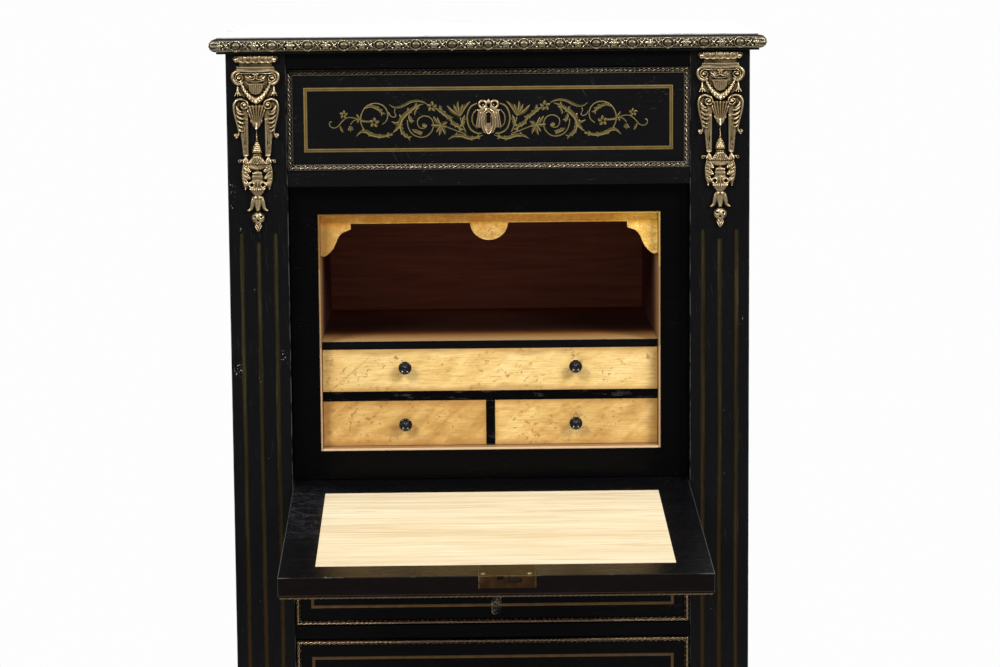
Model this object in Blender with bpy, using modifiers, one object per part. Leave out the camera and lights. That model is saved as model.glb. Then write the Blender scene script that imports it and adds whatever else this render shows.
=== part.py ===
"""Fall-front secretaire with drawers, a fitted interior, gilt-bronze mounts and a lock that works."""

import math

import bmesh
import bpy
from mathutils import Matrix, Vector

# Carcass, in metres
CARCASS_WIDTH = 0.680
CARCASS_DEPTH = 0.389
SIDE_THICK = 0.020
BACK_THICK = 0.012
LINER_THICK = 0.014
PILASTER_WIDTH = 0.078
PILASTER_THICK = 0.030
TOP_BOARD_THICK = 0.020

# Bands of the front, from the floor up
PLINTH_HEIGHT = 0.1375
BOTTOM_RAIL = 0.0200
LOW_DRAWER = 0.1960
LOW_RAIL = 0.0203
MID_DRAWER = 0.1640
HIGH_DRAWER = 0.1279
SILL_RAIL = 0.0246
FALL_OPENING = 0.4311
UPPER_RAIL = 0.0216
TOP_DRAWER = 0.1303
FRIEZE_RAIL = 0.0216
FILLET_HEIGHT = 0.0025
RIM_HEIGHT = 0.0172

# Top and plinth
FILLET_OVERHANG = 0.0110
RIM_OVERHANG = 0.0188
RIM_WIDTH = 0.0240
MARBLE_LIP = 0.0030
MARBLE_OVER = 0.0152
PLINTH_OVERHANG = 0.0120
PLINTH_WALL = 0.0220
PLINTH_MOULD = 0.0220
PLINTH_PROFILE = ((1.0, 1.0), (0.85, 0.6), (0.45, 0.3), (0.25, 0.0))

# Clearances
GAP = 0.0003
DRAWER_GAP = 0.0008
INNER_GAP = 0.0005
RUN_CLEAR = 0.00006
CUT_OVER = 0.0040
EDGE = 0.0006
TINY_EDGE = 0.0003

# Flutes of the pilasters
FLUTE_PITCH = 0.0220
FLUTE_WIDTH = 0.0070
FLUTE_DEPTH = 0.0020
FLUTE_TOP_OUTER = 0.0020
FLUTE_TOP_MIDDLE = 0.0140
FLUTE_FOOT = 0.0500
FLUTE_SIDES = 16
FLUTE_RINGS = 7

# Drawers
FRONT_THICK = 0.0200
TRAY_WALL = 0.0100
TRAY_FLOOR = 0.0070
TRAY_BACK_ROOM = 0.0180
TRAY_TOP_ROOM = 0.0060
MOULD_WIDTH = 0.0065
MOULD_PROUD = 0.0040
MOULD_SOFT = 0.0016

# Fall and its pivots
FALL_THICK = 0.0235
FALL_OPEN = math.radians(95.24)
PIVOT_BACK = 0.0080
FALL_TAIL = 0.0195
FALL_TOP_GAP = 0.0012
SWING_CLEAR = 0.0003
FALL_MOULD_LIFT = 0.0080
PIN_RADIUS = 0.0030
PIN_IN_POST = 0.0120
PIN_IN_FALL = 0.0120
PIN_SIDES = 24
PIVOT_PLATE = 0.0020
PIVOT_PLATE_WIDE = 0.0100
PIVOT_PLATE_LONG = 0.0440
PIVOT_PLATE_BELOW = 0.0120
WRITING_SIDE = 0.0430
WRITING_NEAR = 0.0442
WRITING_FAR = 0.0655
WRITING_DEEP = 0.0040

# Lock, bolt and key
LOCK_WIDTH = 0.0690
LOCK_SHIFT = 0.0130
LOCK_DEPTH = 0.0385
LOCK_PLATE = 0.0022
LOCK_SELVEDGE = 0.0155
LOCK_CASE_WIDTH = 0.0540
LOCK_CASE_DEPTH = 0.0375
LOCK_CASE_THICK = 0.0130
BOLT_SHIFT = 0.0220
BOLT_WIDTH = 0.0160
BOLT_THICK = 0.0050
BOLT_LONG = 0.0200
BOLT_THROW = 0.0080
BOLT_IN_CASE = 0.0050
KEY_FROM_EDGE = 0.0290
KEY_SHANK = 0.0022
KEY_IN_CASE = 0.0060
KEY_NECK = 0.0120
KEY_BOW_LONG = 0.0230
KEY_BOW_WIDE = 0.0220
KEY_WIRE = 0.0016
KEY_COLLAR = 0.0036
KEY_COLLAR_LONG = 0.0030
KEY_TURN = math.radians(58.0)
KEY_SIDES = 16
BOW_STEPS = 24

# Fitted interior
FRAME_THICK = 0.0200
FRAME_BOTTOM = 0.0379
FRAME_TOP = 0.0378
FRAME_SIDE = 0.0360
FRAME_LIFT = 0.0004
FRAME_BEHIND = 0.0004
INNER_BACKSET = 0.0021
INNER_WALL = 0.0025
INNER_BASE = 0.0030
SMALL_DRAWER = 0.0609
INNER_RAIL = 0.0120
LONG_DRAWER = 0.0573
SHELF_THICK = 0.0103
INNER_DIVIDER = 0.0110
VALANCE_THICK = 0.0080
VALANCE_BAND = 0.0152
VALANCE_DROP = 0.0585
VALANCE_REACH = 0.0400
VALANCE_BRACKET = (
    (1.0, 0.0), (1.0, 0.169), (0.885, 0.215), (0.74, 0.263), (0.635, 0.353), (0.562, 0.453), (0.51, 0.589),
    (0.425, 0.746), (0.32, 0.864), (0.22, 0.952), (0.115, 1.0), (0.03, 0.982), (0.0, 0.963),
)
PENDANT_HALF = 0.0248
PENDANT_DROP = 0.0230
CURVE_STEPS = 10
INNER_FRONT = 0.0090
INNER_FRONT_BACKSET = 0.0005
CASE_BACKSET = 0.0185
LONG_KNOB_RAISE = 0.0050
INNER_TRAY_WALL = 0.0055
INNER_TRAY_FLOOR = 0.0040
INNER_TRAY_ROOM = 0.0150
INNER_TRAY_TOP = 0.0040
KNOB_SHIFT = 0.5080

# Knob outline: share of the radius, then share of the length from the tip to the base
KNOB_RADIUS = 0.0088
KNOB_LENGTH = 0.0170
KNOB_STEPS = 16
KNOB_MERGE = 0.00005
KNOB_OUTLINE = (
    (0.00, 1.00), (0.28, 1.00), (0.36, 0.95), (0.40, 0.90), (0.66, 0.88), (0.90, 0.78), (1.00, 0.64),
    (0.94, 0.50), (0.72, 0.42), (0.50, 0.38), (0.44, 0.28), (0.48, 0.18), (0.70, 0.13), (0.74, 0.05),
    (0.70, 0.00), (0.00, 0.00),
)

# Chute: rows and points are in thousandths of its drawn height, across and down from its top centre
CHUTE_HEIGHT = 0.2300
CHUTE_DRAWN = 230.0
CHUTE_TOP_GAP = 0.0006
CHUTE_SINK = 2.0
CHUTE_SIDES = 12
RUN_SIDES = 6
CHUTE_CAPITAL = (
    (8, 18, 9), (12, 19.5, 7.5), (14, 21, 8), (16, 24.3, 11), (20, 24.5, 11.5), (22.5, 24, 11),
    (28, 23, 10), (35, 18, 9), (38, 13, 9), (42, 12.5, 9.5), (50, 10, 9), (56, 7, 7), (63, 4, 5),
)
CHUTE_SPINE = (
    (61, 3.5, 4), (65, 9.5, 6), (70, 11.7, 7), (78, 11.4, 8), (86, 8.3, 8), (92, 5.4, 7), (97, 2.8, 5),
    (99.5, 1.7, 3.5), (104, 1.9, 3.5), (109, 1.6, 4), (114, 4, 6), (120, 6.9, 8), (126, 7.1, 8),
    (129, 5.8, 7), (132, 6.6, 7), (137, 9.6, 8), (140, 12.4, 10), (144, 12.6, 10), (148, 9.2, 7),
    (151, 6, 6), (154, 7, 7), (159, 6.6, 7), (162, 9.5, 9), (166, 14.2, 10), (171, 15.8, 10),
    (177, 12, 9), (182, 6.6, 7), (186, 5.8, 7), (193, 8.2, 8), (200, 9, 8), (204, 6.2, 6),
    (206, 7.4, 6.5), (211, 9.2, 8), (216, 8.6, 8), (221, 5.2, 6), (225, 5.2, 5.5), (228.5, 3, 4),
    (230, 1, 3),
)
CHUTE_CUSHION = (
    (-26, 5.6, 2.6), (-23.5, 5.4, 4.7), (-18, 5.2, 5.2), (0, 5.2, 5.2), (18, 5.2, 5.2), (23.5, 5.4, 4.7),
    (26, 5.6, 2.6),
)
CHUTE_FESTOON = (
    (-19.5, 36, 2.0), (-15.5, 44, 2.8), (-10.5, 51, 3.6), (-5, 56.5, 4.2), (0, 58.4, 4.5), (5, 56.5, 4.2),
    (10.5, 51, 3.6), (15.5, 44, 2.8), (19.5, 36, 2.0),
)
CHUTE_VOLUTE = (20.4, 30.2, 9.6, 3.6, 1.35, 2.3)
CHUTE_CONSOLE = (
    (20.5, 59.8, 4.3), (25.0, 63.0, 4.4), (27.2, 69.0, 4.2), (27.0, 77.0, 4.4), (25.4, 86.0, 4.6),
    (22.4, 96.0, 5.0), (18.6, 105.0, 5.4), (15.8, 115.0, 5.0), (14.4, 128.0, 4.5), (14.2, 138.0, 4.4),
    (15.0, 143.0, 3.8),
)
CHUTE_SCROLL = (15.8, 65.4, 5.6, 2.8, 1.10, 1.9)
CHUTE_FOOT = (26.4, 105.0, 3.8, 2.6, 0.90, 1.5)
CHUTE_CURL = (20.8, 140.5, 2.8, 2.2, 0.85, 1.2)
CHUTE_ARM = (
    (14.6, 140.0, 3.6), (17.0, 147.0, 3.2), (17.6, 156.0, 3.4), (16.2, 164.0, 3.2), (13.6, 171.0, 3.0),
)
CHUTE_TIP = ((6.0, 190.0, 2.6), (8.4, 197.0, 2.3), (11.0, 201.8, 2.0), (13.2, 203.6, 1.5))
CHUTE_BEADS = (
    (20.4, 30.2, 8.6, 5.0), (25.6, 46.0, 4.4, 8.4), (20.6, 77.0, 6.0, 14.0), (7.8, 168.0, 4.2, 4.2),
)
BEAD_DEEP = 6.5
SCROLL_STEPS = 13
SCROLL_TAPER = 0.45
BEAD_SEGMENTS = 10
BEAD_RINGS = 6

# Escutcheon of the top drawer
ESCUTCHEON_WIDE = 0.0240
ESCUTCHEON_TALL = 0.0330
ESCUTCHEON_PROUD = 0.0032
BOW_LOOP_WIDE = 0.0090
BOW_LOOP_TALL = 0.0052
BOW_OFFSET = 0.0073
DROP_TALL = 0.0050
KEYHOLE_WIDE = 0.0042
KEYHOLE_TALL = 0.0105

# Finishes: colour, roughness, metal
EBONY = ((0.012, 0.011, 0.012), 0.18, 0.0)
BRONZE = ((0.46, 0.31, 0.13), 0.34, 1.0)
BRASS = ((0.52, 0.37, 0.15), 0.30, 1.0)
STEEL = ((0.28, 0.28, 0.29), 0.40, 1.0)
MARBLE = ((0.86, 0.86, 0.84), 0.22, 0.0)
MAPLE = ((0.72, 0.45, 0.17), 0.30, 0.0)
PALE_WOOD = ((0.90, 0.76, 0.48), 0.40, 0.0)
OAK = ((0.42, 0.27, 0.13), 0.55, 0.0)
MAHOGANY = ((0.20, 0.07, 0.03), 0.45, 0.0)

# Levels and widths that follow from the sizes above
Z_LOW = PLINTH_HEIGHT + BOTTOM_RAIL
Z_LOW_TOP = Z_LOW + LOW_DRAWER
Z_MID = Z_LOW_TOP + LOW_RAIL
Z_MID_TOP = Z_MID + MID_DRAWER
Z_HIGH = Z_MID_TOP + LOW_RAIL
Z_HIGH_TOP = Z_HIGH + HIGH_DRAWER
Z_SILL = Z_HIGH_TOP + SILL_RAIL
Z_OPENING_TOP = Z_SILL + FALL_OPENING
Z_TOP_DRAWER = Z_OPENING_TOP + UPPER_RAIL
Z_TOP_DRAWER_TOP = Z_TOP_DRAWER + TOP_DRAWER
Z_CARCASS_TOP = Z_TOP_DRAWER_TOP + FRIEZE_RAIL
Z_RIM = Z_CARCASS_TOP + FILLET_HEIGHT
Z_TOP = Z_RIM + RIM_HEIGHT
CARCASS_HALF = CARCASS_WIDTH / 2
POST_INNER = CARCASS_HALF - PILASTER_WIDTH
FRONT_HALF = POST_INNER - DRAWER_GAP
DIVIDER_HALF = POST_INNER - GAP
Y_BACK_BOARD = CARCASS_DEPTH - BACK_THICK
Y_INSIDE = Y_BACK_BOARD - GAP
PILASTER_MIDDLE = CARCASS_HALF - PILASTER_WIDTH / 2
PIVOT_Z = Z_SILL + math.hypot(PIVOT_BACK, FALL_TAIL) + SWING_CLEAR
FALL_REACH = Z_OPENING_TOP - FALL_TOP_GAP - PIVOT_Z
FALL_FACE = FALL_THICK - PIVOT_BACK
TAIL_TOP = PIVOT_Z + FALL_FACE * math.sin(FALL_OPEN) - FALL_TAIL * math.cos(FALL_OPEN)
Z_FRAME = TAIL_TOP + FRAME_LIFT
Y_FRAME = FALL_THICK + FRAME_BEHIND
Z_INNER = Z_FRAME + FRAME_BOTTOM + GAP
Z_INNER_TOP = Z_OPENING_TOP - FRAME_TOP - GAP
INNER_HALF = DIVIDER_HALF - FRAME_SIDE - GAP
INNER_CLEAR = INNER_HALF - INNER_WALL - GAP
Y_INNER = Y_FRAME + INNER_BACKSET
Y_CASE = Y_INNER + CASE_BACKSET
Z_SMALL = Z_INNER + INNER_BASE
Z_SMALL_TOP = Z_SMALL + SMALL_DRAWER
Z_LONG = Z_SMALL_TOP + INNER_RAIL
Z_LONG_TOP = Z_LONG + LONG_DRAWER
Z_SHELF_TOP = Z_LONG_TOP + SHELF_THICK
CHUTE_UNIT = CHUTE_HEIGHT / CHUTE_DRAWN
CHUTE_TOP = Z_CARCASS_TOP - CHUTE_TOP_GAP

# Empty scene with one collection for pieces and one for cutters
for leftover in list(bpy.data.objects):
    bpy.data.objects.remove(leftover, do_unlink=True)
PIECES = bpy.data.collections.new("secretaire")
CUTTERS = bpy.data.collections.new("cutters")
bpy.context.scene.collection.children.link(PIECES)
bpy.context.scene.collection.children.link(CUTTERS)
CUTTERS.hide_render = True


def principled(name, finish):
    colour, roughness, metal = finish
    material = bpy.data.materials.new(name)
    material.use_nodes = True
    shader = material.node_tree.nodes["Principled BSDF"]
    shader.inputs["Base Color"].default_value = (*colour, 1.0)
    shader.inputs["Roughness"].default_value = roughness
    shader.inputs["Metallic"].default_value = metal
    return material


def add_piece(name, mesh, finish):
    piece = bpy.data.objects.new(name, mesh)
    piece.data.materials.append(principled(name + "_finish", finish))
    PIECES.objects.link(piece)
    return piece


def add_cutter(name, mesh):
    cutter = bpy.data.objects.new(name, mesh)
    cutter.display_type = "WIRE"
    cutter.hide_render = True
    CUTTERS.objects.link(cutter)
    return cutter


def to_mesh(bm, name):
    bmesh.ops.recalc_face_normals(bm, faces=bm.faces)
    mesh = bpy.data.meshes.new(name)
    bm.to_mesh(mesh)
    bm.free()
    return mesh


def box_mesh(name, low, high):
    size = Vector(high) - Vector(low)
    middle = (Vector(high) + Vector(low)) / 2
    bm = bmesh.new()
    bmesh.ops.create_cube(bm, size=1.0, matrix=Matrix.LocRotScale(middle, None, size))
    return to_mesh(bm, name)


def soften(piece, width):
    bevel = piece.modifiers.new("soft_edges", "BEVEL")
    bevel.width = width
    bevel.segments = 1
    bevel.limit_method = "ANGLE"
    return piece


def board(name, low, high, finish, edge=EDGE):
    return soften(add_piece(name, box_mesh(name, low, high), finish), edge)


def combine(piece, other, operation):
    boolean = piece.modifiers.new(other.name, "BOOLEAN")
    boolean.solver = "EXACT"
    boolean.operation = operation
    boolean.object = other


def cut_box(piece, name, low, high):
    cutter = add_cutter(name, box_mesh(name, low, high))
    cutter.parent = piece.parent
    combine(piece, cutter, "DIFFERENCE")


def rod_mesh(name, radius, low, high, sides):
    bm = bmesh.new()
    middle = (Vector(high) + Vector(low)) / 2
    along = Vector(high) - Vector(low)
    turn = along.to_track_quat("Z", "Y")
    place = Matrix.LocRotScale(middle, turn, None)
    bmesh.ops.create_cone(
        bm, cap_ends=True, segments=sides, radius1=radius, radius2=radius, depth=along.length, matrix=place
    )
    return to_mesh(bm, name)


def cut_rod(piece, name, radius, low, high, sides):
    cutter = add_cutter(name, rod_mesh(name, radius, low, high, sides))
    cutter.parent = piece.parent
    combine(piece, cutter, "DIFFERENCE")


def bridge(bm, rows, closed):
    following = rows[1:] + rows[:1] if closed else rows[1:]
    for row, after in zip(rows, following):
        for n, vert in enumerate(row):
            step = (n + 1) % len(row)
            bm.faces.new((vert, row[step], after[step], after[n]))
    if not closed:
        bm.faces.new(rows[0])
        bm.faces.new(rows[-1])


def frame_mesh(name, half, low, high, section):
    """A mitred upright frame; its section lists how far each point is inside the outline, and its depth."""
    bm = bmesh.new()
    rows = []
    for across, up in ((-1, False), (1, False), (1, True), (-1, True)):
        row = [
            bm.verts.new((across * (half - inset), depth, high - inset if up else low + inset))
            for inset, depth in section
        ]
        rows.append(row)
    bridge(bm, rows, True)
    return to_mesh(bm, name)


def return_mesh(name, half, front, back, section):
    """A moulding along the front that returns down both sides; its section lists overhang and height."""
    bm = bmesh.new()
    rows = []
    for across, at_front in ((-1, False), (-1, True), (1, True), (1, False)):
        row = [
            bm.verts.new((across * (half + out), front - out if at_front else back, height))
            for out, height in section
        ]
        rows.append(row)
    bridge(bm, rows, False)
    return to_mesh(bm, name)


def prism_mesh(name, near, far):
    bm = bmesh.new()
    rows = [[bm.verts.new(point) for point in face] for face in (near, far)]
    bridge(bm, rows, False)
    return to_mesh(bm, name)


def moulding_section(face):
    top = face - MOULD_PROUD
    shoulder = top + MOULD_SOFT
    return (
        (0.0, face),
        (0.0, shoulder),
        (MOULD_SOFT, top),
        (MOULD_WIDTH - MOULD_SOFT, top),
        (MOULD_WIDTH, shoulder),
        (MOULD_WIDTH, face),
    )


def half_round(width, low, high, steps):
    """Section of a half-round rim, from its inner foot over the nose to its inner top."""
    middle = (low + high) / 2
    nose = (high - low) / 2
    points = [(0.0, low)]
    for n in range(steps + 1):
        angle = -math.pi / 2 + math.pi * n / steps
        points.append((width - nose + nose * math.cos(angle), middle + nose * math.sin(angle)))
    points.append((0.0, high))
    return points


# Carcass
for name, side in (("left", -1), ("right", 1)):
    outer = side * CARCASS_HALF
    inner = side * (CARCASS_HALF - SIDE_THICK)
    board(
        "side_" + name,
        (min(outer, inner), PILASTER_THICK + GAP, PLINTH_HEIGHT),
        (max(outer, inner), CARCASS_DEPTH, Z_CARCASS_TOP - GAP),
        EBONY,
    )
    near = side * (POST_INNER + GAP)
    far = side * (POST_INNER + GAP + LINER_THICK)
    board(
        "liner_" + name,
        (min(near, far), PILASTER_THICK + GAP, Z_LOW - DRAWER_GAP),
        (max(near, far), Y_INSIDE, Z_CARCASS_TOP - TOP_BOARD_THICK - GAP),
        OAK,
    )
SIDE_INSIDE = CARCASS_HALF - SIDE_THICK - GAP
board(
    "back_panel",
    (-SIDE_INSIDE, Y_BACK_BOARD, PLINTH_HEIGHT),
    (SIDE_INSIDE, CARCASS_DEPTH, Z_CARCASS_TOP - GAP),
    MAHOGANY,
)
top_board = board(
    "top_board",
    (-CARCASS_HALF - FILLET_OVERHANG, -FILLET_OVERHANG, Z_CARCASS_TOP),
    (CARCASS_HALF + FILLET_OVERHANG, CARCASS_DEPTH, Z_RIM - GAP),
    EBONY,
    TINY_EDGE,
)
top_core = add_cutter(
    "top_core",
    box_mesh(
        "top_core",
        (-SIDE_INSIDE, PILASTER_THICK + GAP, Z_CARCASS_TOP - TOP_BOARD_THICK),
        (SIDE_INSIDE, Y_INSIDE, Z_CARCASS_TOP + FILLET_HEIGHT / 2),
    ),
)
combine(top_board, top_core, "UNION")
RIM_INNER = CARCASS_HALF + RIM_OVERHANG - RIM_WIDTH
RIM_FRONT = RIM_WIDTH - RIM_OVERHANG
RIM_SECTION = half_round(RIM_WIDTH, Z_RIM, Z_TOP, CURVE_STEPS)
add_piece(
    "top_moulding",
    return_mesh("top_moulding", RIM_INNER, RIM_FRONT, CARCASS_DEPTH, RIM_SECTION),
    BRONZE,
)
marble_top = board(
    "marble_top",
    (-RIM_INNER - MARBLE_OVER, RIM_FRONT - MARBLE_OVER, Z_TOP + GAP),
    (RIM_INNER + MARBLE_OVER, CARCASS_DEPTH, Z_TOP + MARBLE_LIP),
    MARBLE,
)
marble_core = add_cutter(
    "marble_core",
    box_mesh(
        "marble_core",
        (-RIM_INNER + GAP, RIM_FRONT + GAP, Z_RIM),
        (RIM_INNER - GAP, CARCASS_DEPTH - GAP, Z_TOP + MARBLE_LIP / 2),
    ),
)
combine(marble_top, marble_core, "UNION")
board(
    "frieze_rail",
    (-DIVIDER_HALF, 0.0, Z_TOP_DRAWER_TOP + DRAWER_GAP),
    (DIVIDER_HALF, FRONT_THICK, Z_CARCASS_TOP - GAP),
    EBONY,
)
RAILS = (
    ("upper_divider", Z_OPENING_TOP, Z_TOP_DRAWER - DRAWER_GAP),
    ("sill_divider", Z_HIGH_TOP + DRAWER_GAP, Z_SILL),
    ("lower_divider_1", Z_MID_TOP + DRAWER_GAP, Z_HIGH - DRAWER_GAP),
    ("lower_divider_2", Z_LOW_TOP + DRAWER_GAP, Z_MID - DRAWER_GAP),
    ("bottom_board", PLINTH_HEIGHT, Z_LOW - DRAWER_GAP),
)
rails = {}
for name, low, high in RAILS:
    rails[name] = board(name, (-DIVIDER_HALF, 0.0, low), (DIVIDER_HALF, Y_INSIDE, high), EBONY)
bottom_core = add_cutter(
    "bottom_core",
    box_mesh(
        "bottom_core",
        (-SIDE_INSIDE, PILASTER_THICK + GAP, PLINTH_HEIGHT + GAP),
        (SIDE_INSIDE, Y_INSIDE - GAP, Z_LOW - DRAWER_GAP - GAP),
    ),
)
combine(rails["bottom_board"], bottom_core, "UNION")
PLINTH_TOP = PLINTH_HEIGHT - GAP
add_piece(
    "plinth",
    return_mesh(
        "plinth",
        CARCASS_HALF,
        0.0,
        CARCASS_DEPTH,
        (
            (-PLINTH_WALL, 0.0),
            (PLINTH_OVERHANG, 0.0),
            *((PLINTH_OVERHANG * out, PLINTH_TOP - PLINTH_MOULD * down) for out, down in PLINTH_PROFILE),
            (-PLINTH_WALL, PLINTH_TOP),
        ),
    ),
    EBONY,
)

# Pilasters with rounded flutes and the sockets of the fall's pins
FLUTE_RADIUS = (FLUTE_WIDTH**2 / 4 + FLUTE_DEPTH**2) / (2 * FLUTE_DEPTH)
FLUTE_Y = FLUTE_DEPTH - FLUTE_RADIUS


def capsule_mesh(name, radius, middle, low, high):
    bm = bmesh.new()
    bmesh.ops.create_uvsphere(bm, u_segments=FLUTE_SIDES, v_segments=FLUTE_RINGS, radius=radius)
    for vert in bm.verts:
        vert.co.x += middle[0]
        vert.co.y += middle[1]
        vert.co.z += high - radius if vert.co.z > 0.0 else low + radius
    return to_mesh(bm, name)


for name, side in (("left", -1), ("right", 1)):
    inner = side * POST_INNER
    outer = side * CARCASS_HALF
    pilaster = board(
        "pilaster_" + name,
        (min(inner, outer), 0.0, PLINTH_HEIGHT),
        (max(inner, outer), PILASTER_THICK, Z_CARCASS_TOP - GAP),
        EBONY,
    )
    for place in (-1, 0, 1):
        lowered = FLUTE_TOP_OUTER if place else FLUTE_TOP_MIDDLE
        flute_name = f"flute_{name}_{place + 1}"
        flute_x = side * PILASTER_MIDDLE + place * FLUTE_PITCH
        flute = add_cutter(
            flute_name,
            capsule_mesh(
                flute_name,
                FLUTE_RADIUS,
                (flute_x, FLUTE_Y),
                PLINTH_HEIGHT + FLUTE_FOOT,
                CHUTE_TOP - CHUTE_HEIGHT - lowered,
            ),
        )
        combine(pilaster, flute, "DIFFERENCE")
    cut_rod(
        pilaster,
        "pin_socket_" + name,
        PIN_RADIUS + RUN_CLEAR,
        (side * (POST_INNER - CUT_OVER), PIVOT_BACK, PIVOT_Z),
        (side * (POST_INNER + PIN_IN_POST), PIVOT_BACK, PIVOT_Z),
        PIN_SIDES,
    )

# Gilt-bronze chutes: a capital, two consoles with scrolls, a hanging leaf, drops and a berry, cast as one
def chute_point(across, down, proud):
    return Vector((across * CHUTE_UNIT, -proud * CHUTE_UNIT, -down * CHUTE_UNIT))


def add_stack(bm, rows):
    rings = []
    for down, half, deep in rows:
        ring = []
        for n in range(CHUTE_SIDES):
            angle = 2 * math.pi * n / CHUTE_SIDES
            ring.append(bm.verts.new(chute_point(half * math.cos(angle), down, deep * math.sin(angle))))
        rings.append(ring)
    bridge(bm, rings, False)


def add_run(bm, points, side):
    rings = []
    for n, (across, down, radius) in enumerate(points):
        before = points[max(n - 1, 0)]
        after = points[min(n + 1, len(points) - 1)]
        along = Vector((side * (after[0] - before[0]), after[1] - before[1])).normalized()
        ring = []
        for k in range(RUN_SIDES):
            angle = 2 * math.pi * k / RUN_SIDES
            swing = radius * math.cos(angle)
            proud = CHUTE_SINK + radius + radius * math.sin(angle)
            ring.append(
                bm.verts.new(chute_point(side * across - along.y * swing, down + along.x * swing, proud))
            )
        rings.append(ring)
    bridge(bm, rings, False)


def spiral(shape, start, way):
    across, down, outer, inner, turns, radius = shape
    points = []
    for n in range(SCROLL_STEPS + 1):
        share = n / SCROLL_STEPS
        angle = start + way * 2 * math.pi * turns * share
        reach = outer + (inner - outer) * share
        thin = radius * (1 - SCROLL_TAPER * share)
        points.append((across + reach * math.cos(angle), down - reach * math.sin(angle), thin))
    return points


def add_bead(bm, across, down, half, tall):
    place = Matrix.LocRotScale(
        chute_point(across, down, CHUTE_SINK), None, Vector((half, BEAD_DEEP, tall)) * CHUTE_UNIT
    )
    bmesh.ops.create_uvsphere(bm, u_segments=BEAD_SEGMENTS, v_segments=BEAD_RINGS, radius=1.0, matrix=place)


def chute_parts():
    bm = bmesh.new()
    add_stack(bm, CHUTE_SPINE)
    add_run(bm, CHUTE_CUSHION, 1)
    add_run(bm, CHUTE_FESTOON, 1)
    for side in (-1, 1):
        add_run(bm, spiral(CHUTE_VOLUTE, math.pi / 2, -1), side)
        add_run(bm, spiral(CHUTE_SCROLL, math.pi / 4, 1), side)
        add_run(bm, spiral(CHUTE_FOOT, math.pi, 1), side)
        add_run(bm, spiral(CHUTE_CURL, math.pi, -1), side)
        add_run(bm, CHUTE_CONSOLE, side)
        add_run(bm, CHUTE_ARM, side)
        add_run(bm, CHUTE_TIP, side)
        for across, down, half, tall in CHUTE_BEADS:
            add_bead(bm, side * across, down, half, tall)
    return to_mesh(bm, "chute_parts")


def chute_core():
    bm = bmesh.new()
    add_stack(bm, CHUTE_CAPITAL)
    return to_mesh(bm, "chute_core")


parts_mesh = chute_parts()
core_mesh = chute_core()
for name, side in (("left", -1), ("right", 1)):
    chute = add_piece("chute_" + name, core_mesh.copy(), BRONZE)
    chute.location = (side * PILASTER_MIDDLE, 0.0, CHUTE_TOP)
    others = add_cutter("chute_parts_" + name, parts_mesh.copy())
    others.location = chute.location
    combine(chute, others, "UNION")
    chute.modifiers[-1].use_self = True
    wall = add_cutter(
        "chute_wall_" + name,
        box_mesh(
            "chute_wall_" + name,
            (-PILASTER_WIDTH, -GAP, -CHUTE_HEIGHT - CUT_OVER),
            (PILASTER_WIDTH, PILASTER_THICK, CUT_OVER),
        ),
    )
    wall.location = chute.location
    combine(chute, wall, "DIFFERENCE")

# Fall: made as if closed, about its pivot, then swung open as one
fall_axis = bpy.data.objects.new("fall_axis", None)
fall_axis.location = (0.0, PIVOT_BACK, PIVOT_Z)
fall_axis.rotation_euler = (FALL_OPEN, 0.0, 0.0)
PIECES.objects.link(fall_axis)


def on_fall(piece):
    piece.parent = fall_axis
    return piece


fall_panel = on_fall(
    board(
        "fall_panel",
        (-FRONT_HALF, -PIVOT_BACK, -FALL_TAIL),
        (FRONT_HALF, FALL_FACE, FALL_REACH),
        EBONY,
    )
)
WRITING_HALF = FRONT_HALF - WRITING_SIDE
WRITING_LOW = WRITING_FAR - FALL_TAIL
WRITING_HIGH = FALL_REACH - WRITING_NEAR
cut_box(
    fall_panel,
    "writing_recess",
    (-WRITING_HALF, FALL_FACE - WRITING_DEEP, WRITING_LOW),
    (WRITING_HALF, FALL_FACE + CUT_OVER, WRITING_HIGH),
)
on_fall(
    board(
        "writing_panel",
        (-WRITING_HALF + GAP, FALL_FACE - WRITING_DEEP + GAP, WRITING_LOW + GAP),
        (WRITING_HALF - GAP, FALL_FACE, WRITING_HIGH - GAP),
        PALE_WOOD,
        TINY_EDGE,
    )
)
on_fall(
    add_piece(
        "fall_moulding",
        frame_mesh(
            "fall_moulding",
            FRONT_HALF,
            FALL_MOULD_LIFT - FALL_TAIL,
            FALL_REACH,
            moulding_section(-PIVOT_BACK - GAP),
        ),
        BRONZE,
    )
)

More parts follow.
